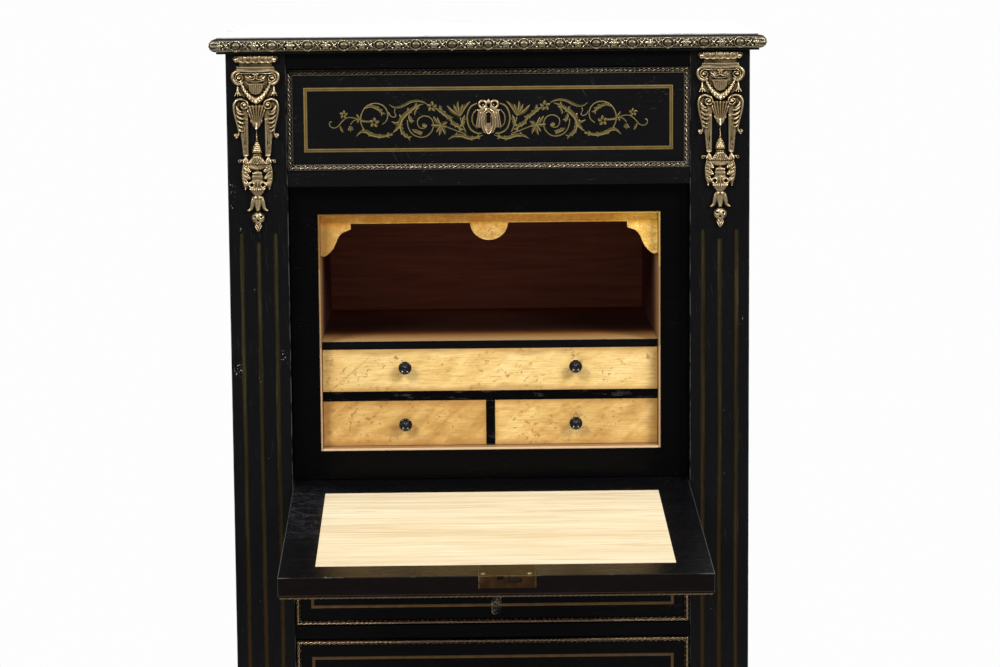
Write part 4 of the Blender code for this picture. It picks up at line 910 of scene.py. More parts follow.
# Brass inlay on the top drawer, its left half on a drawing grid with the keyhole's middle at 1468, 310
DRAWN = 0.0001488
DRAWN_MIDDLE = (1468.0, 310.0)
INLAY_MIDDLE = 1.2320
STEMS = (
    ((100, 352, 10), (88, 350, 8), (80, 365, 8), (84, 385, 8), (100, 398, 8), (122, 402, 8),
     (146, 394, 8), (166, 376, 9), (184, 352, 9), (205, 335, 9)),
    ((190, 345, 8), (215, 325, 8), (250, 312, 8), (300, 318, 8), (335, 335, 8)),
    ((262, 375, 8), (285, 345, 8), (320, 330, 8)),
    ((350, 340, 18), (390, 346, 18), (430, 350, 14)),
    ((540, 375, 8), (575, 345, 9), (588, 300, 10), (580, 255, 10), (550, 215, 10), (505, 195, 10),
     (455, 195, 10), (410, 215, 10), (375, 255, 10), (355, 310, 10), (358, 370, 10), (385, 425, 9),
     (420, 455, 8)),
    ((655, 240, 8), (648, 270, 8), (662, 300, 8), (640, 315, 8), (610, 300, 8), (595, 270, 8)),
    ((760, 340, 9), (765, 390, 9), (785, 440, 10), (825, 475, 10), (880, 490, 10), (935, 475, 10),
     (975, 430, 10), (985, 380, 10), (970, 335, 9), (935, 310, 9), (890, 310, 9), (855, 335, 9),
     (848, 370, 9), (865, 405, 9), (900, 412, 9), (925, 395, 9), (915, 380, 9)),
    ((1110, 405, 9), (1150, 420, 9), (1200, 440, 9), (1260, 460, 8)),
    ((1220, 320, 10), (1240, 380, 10), (1270, 450, 9)),
    ((1370, 200, 10), (1320, 225, 14), (1290, 280, 14), (1285, 350, 14), (1310, 420, 14), (1360, 455, 14),
     (1410, 460, 9)),
    ((1370, 250, 6), (1330, 300, 9), (1330, 370, 9), (1370, 420, 6)),
)
LEAVES = (
    (20, (172, 385), (180, 405), (190, 425), (198, 442)),
    (28, (385, 240), (440, 215), (500, 235), (535, 265), (545, 292)),
    (32, (310, 480), (350, 440), (400, 435), (440, 460), (520, 478), (590, 470), (630, 455)),
    (40, (630, 450), (660, 420), (690, 370), (705, 330), (740, 290), (790, 250), (850, 215), (900, 200)),
    (22, (600, 200), (640, 225), (690, 225), (740, 205), (790, 180), (850, 172), (905, 185), (940, 210)),
    (22, (700, 350), (660, 370), (620, 350)),
    (28, (710, 340), (705, 400), (720, 450), (760, 485), (780, 490)),
    (24, (775, 290), (785, 330), (805, 355)),
    (18, (850, 235), (830, 270), (825, 300)),
    (26, (800, 420), (840, 440), (890, 460)),
    (32, (1000, 235), (1050, 260), (1110, 310), (1140, 330)),
    (22, (1045, 215), (1052, 235), (1060, 258)),
    (32, (1140, 330), (1160, 370), (1210, 400), (1230, 440)),
    (24, (1260, 300), (1250, 350), (1235, 400)),
    (32, (1115, 510), (1170, 480), (1240, 480), (1300, 500), (1360, 495), (1420, 475)),
    (20, (340, 330), (330, 310), (315, 285)),
    (20, (340, 330), (332, 348), (320, 362)),
)
FANS = (
    (26, (1050, 390), ((985, 310), (1020, 320), (965, 385), (1110, 360), (1010, 450), (1035, 480),
     (1090, 470), (1110, 405))),
    (28, (1220, 310), ((1105, 215), (1165, 210), (1200, 180), (1245, 205), (1310, 180))),
    (20, (262, 395), ((240, 425), (262, 436), (286, 422), (250, 400), (276, 398))),
)
FLOWERS = ((205, 288, 36), (470, 360, 46), (975, 225, 46))
BUDS = ((618, 462, 13), (905, 385, 18))
LEAF_SHAPE = (0.10, 0.62, 0.92, 1.0, 0.86, 0.55, 0.05)
LOBED = 24
INLAY_LIFT = 0.00004
INLAY_CROWN = 0.00007
VEIN_LIFT = 0.00018


def on_drawer(rows):
    rows = np.asarray(rows, float)
    placed = np.empty((len(rows), 3))
    placed[:, 0] = (rows[:, 0] - DRAWN_MIDDLE[0]) * DRAWN
    placed[:, 1] = INLAY_MIDDLE - (rows[:, 1] - DRAWN_MIDDLE[1]) * DRAWN
    placed[:, 2] = rows[:, 2] * DRAWN
    return placed


def leaf_path(width, points):
    path = flowing(points, 6)
    share = np.linspace(0.0, 1.0, len(path))
    spread = np.interp(share, np.linspace(0.0, 1.0, len(LEAF_SHAPE)), LEAF_SHAPE)
    return np.column_stack((path, width * spread))


def petals(x, y, reach, count, turn):
    made = []
    for index in range(count):
        angle = turn + 2.0 * math.pi * index / count
        out = np.array((math.cos(angle), math.sin(angle)))
        middle = np.array((x, y))
        made.append(leaf_path(reach * 0.62, [middle + out * reach * share for share in (0.22, 0.6, 1.0)]))
    return made


def make_inlay():
    inlay, cuts = Clay(), Clay()
    level = [0]

    def lay(path, clay=inlay, lift=INLAY_LIFT, crown=INLAY_CROWN):
        level[0] += 1
        clay.ribbon(on_drawer(path), lift + 4e-7 * level[0], crown)

    for stem in STEMS:
        lay(flowing(stem, 6))
    for width, *points in LEAVES:
        path = leaf_path(width, points)
        lay(path)
        if width >= LOBED:
            for share in (0.22, 0.42, 0.62, 0.80):
                at = int(share * (len(path) - 1))
                here, way = path[at, :2], path[at + 1, :2] - path[at - 1, :2]
                way = way / np.linalg.norm(way)
                for side in (-1.0, 1.0):
                    tip = here + width * (0.95 * way + 0.70 * side * np.array((-way[1], way[0])))
                    lay(leaf_path(0.44 * width, (here, here + 0.45 * (tip - here) + 0.10 * width * way, tip)))
        vein = path[len(path) // 6 : -len(path) // 5].copy()
        vein[:, 2] = np.interp(np.linspace(0, 1, len(vein)), (0.0, 0.3, 1.0), (4.0, 4.4, 2.0))
        lay(vein, cuts, VEIN_LIFT, 0.0)
    for width, base, tips in FANS:
        for tip in tips:
            bend = ((base[0] + tip[0]) / 2 + (tip[1] - base[1]) * 0.09,
                    (base[1] + tip[1]) / 2 - (tip[0] - base[0]) * 0.09)
            path = leaf_path(width, (base, bend, tip))
            lay(path)
            vein = path[2:-3].copy()
            vein[:, 2] = 3.6
            lay(vein, cuts, VEIN_LIFT, 0.0)
    for x, y, reach in FLOWERS:
        for path in petals(x, y, reach, 5, -math.pi / 2):
            lay(path)
            vein = path[3:-4].copy()
            vein[:, 2] = 3.0
            lay(vein, cuts, VEIN_LIFT, 0.0)
    for x, y, reach in FLOWERS:
        lay([(x - reach * 0.16, y, reach * 0.05), (x - reach * 0.1, y, reach * 0.3),
             (x + reach * 0.1, y, reach * 0.3), (x + reach * 0.16, y, reach * 0.05)], cuts, VEIN_LIFT, 0.0)
    for x, y, reach in BUDS:
        lay([(x - reach, y, reach * 0.2), (x - reach * 0.7, y, reach * 1.45), (x, y, reach * 2.0),
             (x + reach * 0.7, y, reach * 1.45), (x + reach, y, reach * 0.2)])
    for clay, name, material in ((inlay, "top_drawer_inlay", INLAY_BRASS),
                                 (cuts, "top_drawer_inlay_cuts", INLAY_CUT)):
        clay.mirrored()
        make_piece(name, clay.form(), material, "top_drawer")


# Brass lines let into the drawer fronts
STRING_HALF, STRING_WIDE, STRING_INSET = 0.2408, 0.0040, 0.0204
STRING_LIFT = 0.00005
STRING_CROWN = 0.00010
STRING_GROOVED = (0.7, 0.75, 0.36, 0.75, 0.7)
STRING_PLAIN = (0.50, 0.66, 0.70, 0.66, 0.50)


def on_front(x, z, out):
    return np.column_stack((x, -out, z))


def frame_ribbon(clay, half, low, high, width, place=on_front, tones=STRING_PLAIN):
    """A band of brass round a rectangle, mitred; half, low and high give its outer edge, tones its relief."""
    spread = ((0.0, 0.0), (0.16, 0.7), (0.5, 1.0), (0.84, 0.7), (1.0, 0.0))
    corners = ((-1, 0), (1, 0), (1, 1), (-1, 1))
    points = []
    for side, top in corners + corners[:1]:
        for share, out in spread:
            inward = share * width
            x = side * (half - inward)
            z = (high - inward) if top else (low + inward)
            points.append((x, z, STRING_LIFT + STRING_CROWN * out))
    clay.add(place(*np.array(points).T), grid_faces(5, len(spread)), np.tile(tones, 5))


def make_stringing():
    lines = (
        ("top_drawer", 0.2398, 1.1867, 1.2704, 0.0044),
        ("high_drawer", STRING_HALF, 0.5809, 0.6631, STRING_WIDE),
        ("mid_drawer", STRING_HALF, 0.3967, 0.5149, STRING_WIDE),
        ("low_drawer", STRING_HALF, 0.1804, 0.3306, STRING_WIDE),
    )
    for body, half, low, high, width in lines:
        clay = Clay()
        top = body == "top_drawer"
        material = STRING_BRASS if top else STRING_SHADED
        frame_ribbon(clay, half, low, high, width, tones=STRING_GROOVED if top else STRING_PLAIN)
        make_piece(body + "_stringing", clay.form(), material, body)
    clay = Clay()
    frame_ribbon(clay, STRING_HALF, FALL_MOULD_LOW + STRING_INSET, FALL_EDGE - STRING_INSET, STRING_WIDE,
                 lambda x, z, out: on_fall(x, z, FALL_OUTER - out))
    make_piece("fall_stringing", clay.form(), STRING_SHADED, "fall")


# Braided bronze mouldings round the drawers and the fall
BRAID_WIDE, BRAID_NARROW = 0.0077, 0.0064
BRAID_HALF = 0.2612
BRAID_LIFT = 0.0001
BRAID_PITCH = 0.0124
BRAID_STEP = 0.0008
BRAID_ROWS = 17


def braid_height(along, across):
    """How far the moulding stands out, at a place along it and from 0 at its outer to 1 at its inner edge."""
    outer = 0.0016 * np.clip(1.0 - ((across - 0.07) / 0.075) ** 2, 0.0, None)
    inner = 0.0026 * np.clip(1.0 - ((across - 0.87) / 0.11) ** 2, 0.0, None) ** 0.6
    middle = (across - 0.45) / 0.33
    bed = 0.0017 * np.clip(1.0 - middle**2, 0.0, None) ** 0.5
    turn = 2.0 * np.pi * along / BRAID_PITCH
    strands = np.zeros_like(bed)
    for phase in (0.0, np.pi):
        centre = 0.52 * np.sin(turn + phase)
        over = 0.0004 * np.cos(turn + phase)
        strand = (0.0019 + over) * np.clip(1.0 - ((middle - centre) / 0.42) ** 2, 0.0, None) ** 0.7
        strands = np.maximum(strands, strand)
    berry = 0.0016 * np.clip(1.0 - (np.sin(turn) / 0.45) ** 2 - (middle / 0.34) ** 2, 0.0, None) ** 0.5
    return np.maximum(np.maximum(outer, inner), bed + np.maximum(strands, berry))


def braid(clay, half, low, high, place, width=BRAID_NARROW, lines=-0.5, cells=0.0):
    """The moulding round a rectangle; place turns across, up and out into a point of the frame.

    lines rubs its borders bright, and cells its crossings."""
    across = np.linspace(0.0, 1.0, BRAID_ROWS)
    inward = across * width
    sides = (
        ((-half, low), (1, 0), (0, 1), 2 * half),
        ((half, low), (0, 1), (-1, 0), high - low),
        ((half, high), (-1, 0), (0, -1), 2 * half),
        ((-half, high), (0, -1), (1, 0), high - low),
    )
    for corner, way, inside, length in sides:
        count = int(round(length / BRAID_STEP)) + 1
        share = np.linspace(0.0, 1.0, count)[:, None]
        along = inward[None, :] + (length - 2 * inward[None, :]) * share
        out = braid_height(along - length / 2, np.broadcast_to(across, along.shape))
        x = corner[0] + way[0] * along + inside[0] * inward
        z = corner[1] + way[1] * along + inside[1] * inward
        points = place(x.ravel(), z.ravel(), out.ravel())
        rubbed = np.interp(across, (0.0, 0.10, 0.18, 0.30, 0.62, 0.78, 0.92, 1.0),
                           (0.5, 0.5, -0.1, -0.22, -0.22, 0.3, 0.4, 0.2))
        uneven = 0.34 * np.sin(1570.0 * along) * np.sin(911.0 * along + 11.0 * across)
        beads = cells * np.cos(4.0 * np.pi * (along - length / 2) / BRAID_PITCH)
        beads = beads * np.exp(-(((across - 0.5) / 0.4) ** 2))
        crest = standing(out * 1000.0, 2, 0.55) + lines * rubbed + uneven + beads
        clay.add(points, grid_faces(count, BRAID_ROWS), np.clip(crest, 0.0, 1.0))


def on_fall(x, forward, up):
    """Turns across, distance from the pivot and height above the fall's own middle plane into the frame."""
    c, s = FALL_TURN
    return np.column_stack((x, FALL_PIVOT[0] + up * c - forward * s, FALL_PIVOT[1] + up * s + forward * c))


def make_mouldings():
    fronts = {
        "top_drawer": (1.1633, 1.2936),
        "high_drawer": (0.5581, 0.6860),
        "mid_drawer": (0.3738, 0.5378),
        "low_drawer": (0.1575, 0.3535),
    }
    for body, (low, high) in fronts.items():
        clay = Clay()
        style = (BRAID_WIDE, 1.0) if body == "top_drawer" else (BRAID_NARROW, -1.3, 0.55)
        braid(clay, BRAID_HALF, low, high, lambda x, z, out: on_front(x, z, BRAID_LIFT + out), *style)
        make_piece(body + "_braid", clay.form(), BRAID_TOP if body == "top_drawer" else BRAID_LOW, body,
                   stands_for=(body + "_moulding",))
    clay = Clay()
    braid(clay, BRAID_HALF, FALL_MOULD_LOW, FALL_EDGE,
          lambda x, z, out: on_fall(x, z, FALL_OUTER - BRAID_LIFT - out))
    make_piece("fall_braid", clay.form(), BRAID_FALL, "fall", stands_for=("fall_moulding",))


# Carved bronze rim round the marble
RIM_PITCH = 0.0465
RIM_INNER = (0.3348, 0.0052)
RIM_WIDE = 0.0154
RIM_NOSE = 0.0078
RIM_REACH = RIM_WIDE + RIM_NOSE + 0.002
RIM_MIDDLE = 1.3263
RIM_TOP = 1.3349
RIM_LOW = 1.3177
RIM_BACK = 0.389
RIM_STEP = 0.0007
RIM_TURNS = 40


def dot(s, a, at, size, height):
    far = ((s - at[0]) / size[0]) ** 2 + ((a - at[1]) / size[1]) ** 2
    return height * np.clip(1.0 - far, 0.0, None) ** 0.5


def ring(s, a, size, width, height):
    reach = np.sqrt((s / size[0]) ** 2 + (a / size[1]) ** 2)
    return height * np.clip(1.0 - ((reach - 1.0) * size[0] / width) ** 2, 0.0, None) ** 0.5


def blade(s, a, start, end, width, height, rib=0.35, bend=0.0):
    """A leaf from start to end with a groove along its middle; bend moves its middle sideways."""
    start, end = np.array(start, float), np.array(end, float)
    length = np.linalg.norm(end - start)
    way = (end - start) / length
    t = ((s - start[0]) * way[0] + (a - start[1]) * way[1]) / length
    off = -(s - start[0]) * way[1] + (a - start[1]) * way[0]
    inside = np.clip(t, 0.0, 1.0)
    off = off - bend * np.sin(np.pi * inside)
    wide = width * np.maximum(np.sin(np.pi * np.clip(inside, 0.02, 0.98) ** 0.8), 0.05)
    groove = 1.0 - rib * np.exp(-((off / (0.22 * width)) ** 2))
    body = np.clip(1.0 - (off / wide) ** 2, 0.0, None) ** 0.5 * groove
    return np.where((t >= 0.0) & (t <= 1.0), height * body, 0.0)


def rim_height(s, a):
    """The carving over one repeat, s along from a boss and a round the nose, both in millimetres."""
    half = RIM_PITCH * 500.0
    bed = -1.1 * np.clip((6.3 - np.abs(a)) / 0.9, 0.0, 1.0)
    forms = [
        dot(s, a, (0, 0), (6.1, 4.4), 3.2),
        ring(s, a, (7.7, 5.9), 0.75, 2.4),
    ]
    for way in (-1, 1):
        t = s * way
        forms += [
            blade(t, a, (7.4, 4.4), (16.2, -4.4), 1.0, 2.4, 0.0, 0.5),
            blade(t, a, (7.4, -4.4), (16.2, 4.4), 1.0, 2.0, 0.0, -0.5),
            dot(t, a, (16.4, 4.5), (1.3, 1.2), 2.0),
            dot(t, a, (16.4, -4.5), (1.3, 1.2), 2.0),
            dot(t, a, (11.4, 4.6), (1.0, 0.9), 1.5),
            dot(t, a, (11.4, -4.6), (1.0, 0.9), 1.5),
            blade(t, a, (21.6, 0.5), (16.0, 0.0), 1.4, 2.2, 0.4),
            blade(t, a, (22.0, 2.2), (18.4, 5.2), 1.3, 2.0, 0.3, -0.5),
            blade(t, a, (22.0, -2.2), (18.4, -5.2), 1.3, 2.0, 0.3, 0.5),
            dot(t, a, (half, 0.0), (1.9, 1.9), 3.0),
        ]
        for turn in (90, 162, 198, 270):
            angle = math.radians(turn)
            base = (half + 1.4 * math.cos(angle), 1.4 * math.sin(angle))
            tip = (half + 4.6 * math.cos(angle), 4.9 * math.sin(angle))
            forms.append(blade(t, a, base, tip, 1.5, 2.3, 0.3))
    return bed + np.maximum.reduce(forms)


def rim_run(start, end, outward, along, mitre_start, mitre_end, clay):
    """One straight run of the rim: along is its axis, and outward the way its nose points."""
    length = end - start
    count = int(round(length / RIM_STEP)) + 1
    spots = np.linspace(start, end, count)
    turns = np.linspace(-90.0, 90.0, RIM_TURNS)
    angle = np.radians(turns)
    s = (spots + RIM_PITCH / 2) % RIM_PITCH - RIM_PITCH / 2
    arc = (angle + math.radians(4.0)) * RIM_NOSE * 1000.0
    relief = rim_height(*np.meshgrid(s * 1000.0, arc, indexing="ij")) * 0.001
    fade = np.clip((90.0 - np.abs(turns)) / 22.0, 0.0, 1.0)
    reach = RIM_NOSE + relief * fade[None, :]
    crest = np.where(np.abs(arc) < 7.0, standing(relief * 1000.0, 4, 1.1), 0.55)
    crest = np.where((s[:, None] / 0.0060) ** 2 + (arc / 4.3) ** 2 < 1.0, 0.42, crest)
    flat = np.zeros((count, 1))
    crest = np.concatenate((flat, crest, flat + 0.6), axis=1)
    out = np.concatenate((flat, RIM_WIDE + reach * np.cos(angle), flat), axis=1)
    up = np.concatenate((flat + RIM_LOW, RIM_MIDDLE + reach * np.sin(angle) * 8.6 / 7.8, flat + RIM_TOP),
                        axis=1)
    up = np.clip(up, RIM_LOW, RIM_TOP)
    where = np.broadcast_to(spots[:, None], out.shape).copy()
    if mitre_start:
        where = np.maximum(where, start + RIM_REACH - out)
    if mitre_end:
        where = np.minimum(where, end - RIM_REACH + out)
    if along == "x":
        points = np.stack((where, RIM_INNER[1] + outward * out, up), axis=-1)
    else:
        points = np.stack((outward * (RIM_INNER[0] + out), where, up), axis=-1)
    faces = grid_faces(count, out.shape[1])
    if (along == "x") == (outward > 0):
        faces = [face[::-1] for face in faces]
    clay.add(points, faces, crest)


def make_rim():
    clay = Clay()
    edge = RIM_INNER[0] + RIM_REACH
    rim_run(-edge, edge, -1, "x", True, True, clay)
    for side in (-1, 1):
        rim_run(RIM_INNER[1] - RIM_REACH, RIM_BACK, side, "y", True, False, clay)
    for side in (-1, 1):
        middle = np.array((side * RIM_INNER[0], RIM_INNER[1]))
        lean = np.array((side, -1.0)) / math.sqrt(2.0)
        across = np.array((side, 1.0)) / math.sqrt(2.0)
        rows, crest = [], []
        for share in np.linspace(0.0, 1.0, 29):
            angle = math.radians(-82.0 + 164.0 * share)
            wide = 0.0075 * math.sin(math.pi * min(max(share, 0.03), 0.97)) ** 0.7
            for over in np.linspace(-1.0, 1.0, 9):
                scallop = 1.0 - 0.22 * (math.cos(share * 34.0) * abs(over))
                ridge = 0.0022 * (1.0 - abs(over)) - 0.0008 * math.cos(share * 34.0) * abs(over)
                far = (RIM_WIDE + RIM_NOSE * math.cos(angle)) * 1.38 + 0.0004 + ridge - 0.0052 * over**2
                place = middle + lean * far + across * over * wide * scallop
                rows.append((place[0], place[1], RIM_MIDDLE + (RIM_NOSE + 0.0006) * math.sin(angle)))
                crest.append(0.42 - 0.40 * math.cos(share * 34.0) * (0.35 + 0.65 * abs(over)))
        faces = grid_faces(29, 9)
        clay.add(rows, faces if side < 0 else [face[::-1] for face in faces], crest)
    make_piece("marble_rim", clay.form(), RIM_GILT, "carcass", stands_for=("top_moulding",))


INLAY_BRASS = cast("inlay_brass", (0.70, 0.555, 0.225), (0.235, 0.188, 0.068), (0.045, 0.036, 0.013),
                   (0.30, 0.50))
INLAY_CUT = lacquer("inlay_cuts", "x")
STRING_BRASS = cast("string_brass", (0.60, 0.425, 0.150), (0.205, 0.145, 0.050), (0.05, 0.036, 0.014),
                    (0.30, 0.5))
# A darker copy of the string brass, painted shade, for the lines under the open fall and on the fall
STRING_SHADED = cast("string_brass_shaded", (0.22, 0.130, 0.058), (0.06, 0.034, 0.0155), (0.012, 0.0075, 0.0035),
                   (0.32, 0.5))
RIM_GILT = cast("gilt_bronze_rim", (0.47, 0.415, 0.285), (0.160, 0.135, 0.084), (0.010, 0.0075, 0.0045),
                black_above=(1.3322, 1.3328))
# Its top run and left upright get painted shade, under the rim
BRAID_TOP = cast("gilt_bronze_braid", (0.38, 0.325, 0.245), (0.076, 0.061, 0.042), (0.006, 0.0045, 0.003),
                 shaded=(1.2850, 1.2898))
# Darker copies of the braid, painted shade, for the drawers under the open fall and for the fall's own braid
BRAID_LOW = cast("gilt_bronze_braid_low", (0.42, 0.290, 0.172), (0.026, 0.0168, 0.0096),
                 (0.005, 0.0033, 0.0017), (0.26, 0.52))
BRAID_FALL = cast("gilt_bronze_braid_fall", (0.125, 0.085, 0.048), (0.030, 0.0196, 0.0110),
                  (0.006, 0.004, 0.002), (0.30, 0.52))
make_inlay()
make_stringing()
make_mouldings()
make_rim()


# Cast bronze mounts, as reliefs over a grid in millimetres: across from the middle, and down from the top
class Relief:
    def __init__(self, half, tall, step):
        self.across = np.arange(0.0, half + step / 2, step)
        self.down = np.arange(0.0, tall + step / 2, step)
        self.x, self.d = np.meshgrid(self.across, self.down, indexing="xy")
        self.height = np.zeros_like(self.x)

    def raise_to(self, form):
        self.height = np.maximum(self.height, form)

    def dome(self, x, d, wide, tall, high, low=0.0):
        inside = np.clip(1.0 - ((self.x - x) / wide) ** 2 - ((self.d - d) / tall) ** 2, 0.0, None)
        self.raise_to(np.where(inside > 0, low + (high - low) * np.sqrt(inside), 0.0))

    def ring(self, x, d, radius, wide, high):
        far = np.hypot(self.x - x, self.d - d)
        inside = np.clip(1.0 - ((far - radius) / wide) ** 2, 0.0, None)
        self.raise_to(np.where(inside > 0, high * (0.55 + 0.45 * np.sqrt(inside)), 0.0))

    def hole(self, x, d, wide, tall, floor):
        inside = ((self.x - x) / wide) ** 2 + ((self.d - d) / tall) ** 2 < 1.0
        self.height = np.where(inside, np.minimum(self.height, floor), self.height)

    def stroke(self, path, per=5, groove=0.0, base=0.45, smooth=True):
        """A rounded band along points of across, down, half width and height, grooved along its middle."""
        rows = flowing(path, per) if smooth else np.asarray(path, float)
        for start, end in zip(rows, rows[1:]):
            way = end[:2] - start[:2]
            length = max(float(way @ way), 1e-9)
            t = np.clip(((self.x - start[0]) * way[0] + (self.d - start[1]) * way[1]) / length, 0.0, 1.0)
            far = np.hypot(self.x - start[0] - t * way[0], self.d - start[1] - t * way[1])
            wide = np.maximum(start[2] + (end[2] - start[2]) * t, 0.05)
            high = start[3] + (end[3] - start[3]) * t
            inside = np.clip(1.0 - (far / wide) ** 2, 0.0, None)
            shape = base + (1.0 - base) * np.sqrt(inside)
            if groove:
                shape = shape - groove * np.exp(-((far / (0.3 * wide)) ** 2))
            self.raise_to(np.where(inside > 0, high * shape, 0.0))

    def leaf(self, start, end, wide, high, bend=0.0, groove=0.16, tip=1.25, base=0.5):
        """A leaf that swells and rises to a curled tip."""
        start, end = np.array(start, float), np.array(end, float)
        way = end - start
        side = np.array((-way[1], way[0]))
        rows = []
        for t, swell in ((0.0, 0.45), (0.25, 0.85), (0.5, 1.0), (0.75, 0.82), (1.0, 0.34)):
            place = start + way * t + side * bend * math.sin(math.pi * t)
            rows.append((*place, wide * swell, high * (0.78 + 0.22 * t * tip)))
        self.stroke(rows, 3, groove, base)

    def plate(self, outline, high, edge=1.0, power=0.5):
        """A flat form with rounded edges, its outline given for the half right of the middle."""
        rows = np.asarray(outline, float)
        inside = np.zeros(self.x.shape, bool)
        far = np.full(self.x.shape, 1e9)
        for start, end in zip(rows, np.roll(rows, -1, axis=0)):
            crosses = (start[1] > self.d) != (end[1] > self.d)
            span = end[1] - start[1] if abs(end[1] - start[1]) > 1e-9 else 1e-9
            inside ^= crosses & (self.x < (end[0] - start[0]) * (self.d - start[1]) / span + start[0])
            if start[0] <= 0.0 and end[0] <= 0.0:
                continue
            way = end - start
            length = max(float(way @ way), 1e-9)
            t = np.clip(((self.x - start[0]) * way[0] + (self.d - start[1]) * way[1]) / length, 0.0, 1.0)
            far = np.minimum(far, np.hypot(self.x - start[0] - t * way[0], self.d - start[1] - t * way[1]))
        rise = np.clip(far / edge, 0.0, 1.0)
        form = np.where(inside, high * (0.35 + 0.65 * (1.0 - (1.0 - rise) ** 2) ** power), 0.0)
        self.raise_to(form)
        return inside

    def carve(self, where, change):
        self.height = np.where(where & (self.height > 0), np.maximum(self.height + change, 0.4), self.height)

    def spiral(self, x, d, outer, inner, turns, start, wide, high, way=1):
        rows = []
        for share in np.linspace(0.0, 1.0, int(turns * 14) + 1):
            angle = start + way * share * turns * 2.0 * math.pi
            reach = outer + (inner - outer) * share**0.8
            rows.append((x + reach * math.cos(angle), d + reach * math.sin(angle),
                         wide * (1.0 - 0.35 * share), high * (1 + 0.12 * share)))
        self.stroke(rows, 1, 0.0, 0.5, smooth=False)

    def mesh(self, middle, top, face, reach=4, spread=1.5):
        """Points, faces and relief of the whole mount, both halves, standing on the plane y=face."""
        height = np.concatenate((self.height[:, :0:-1], self.height), axis=1)
        across = np.concatenate((-self.across[:0:-1], self.across))
        solid = height > 0.05
        grown = solid.copy()
        grown[1:] |= solid[:-1]
        grown[:-1] |= solid[1:]
        grown[:, 1:] |= grown[:, :-1].copy()
        grown[:, :-1] |= grown[:, 1:].copy()
        index = np.full(height.shape, -1)
        index[grown] = np.arange(int(grown.sum()))
        row, column = np.nonzero(grown)
        points = np.column_stack((
            middle + across[column] * 0.001,
            face - height[row, column] * 0.001,
            top - self.down[row] * 0.001,
        ))
        quads = np.stack((index[1:, :-1], index[1:, 1:], index[:-1, 1:], index[:-1, :-1]),
                         axis=-1).reshape(-1, 4)
        quads = quads[(quads >= 0).all(axis=1)]
        return points, quads, standing(height, reach, spread, solid)[row, column]


def soften(height, times):
    """Rounds the carving a little, as casting and rubbing do, without moving its outline."""
    for _ in range(times):
        around = np.pad(height, 1, mode="edge")
        mean = (around[:-2, 1:-1] + around[2:, 1:-1] + around[1:-1, :-2] + around[1:-1, 2:]) / 4.0
        height = np.where(height > 0.05, np.where(mean > 0.6 * height, (height + mean) / 2.0, height), height)
    return height


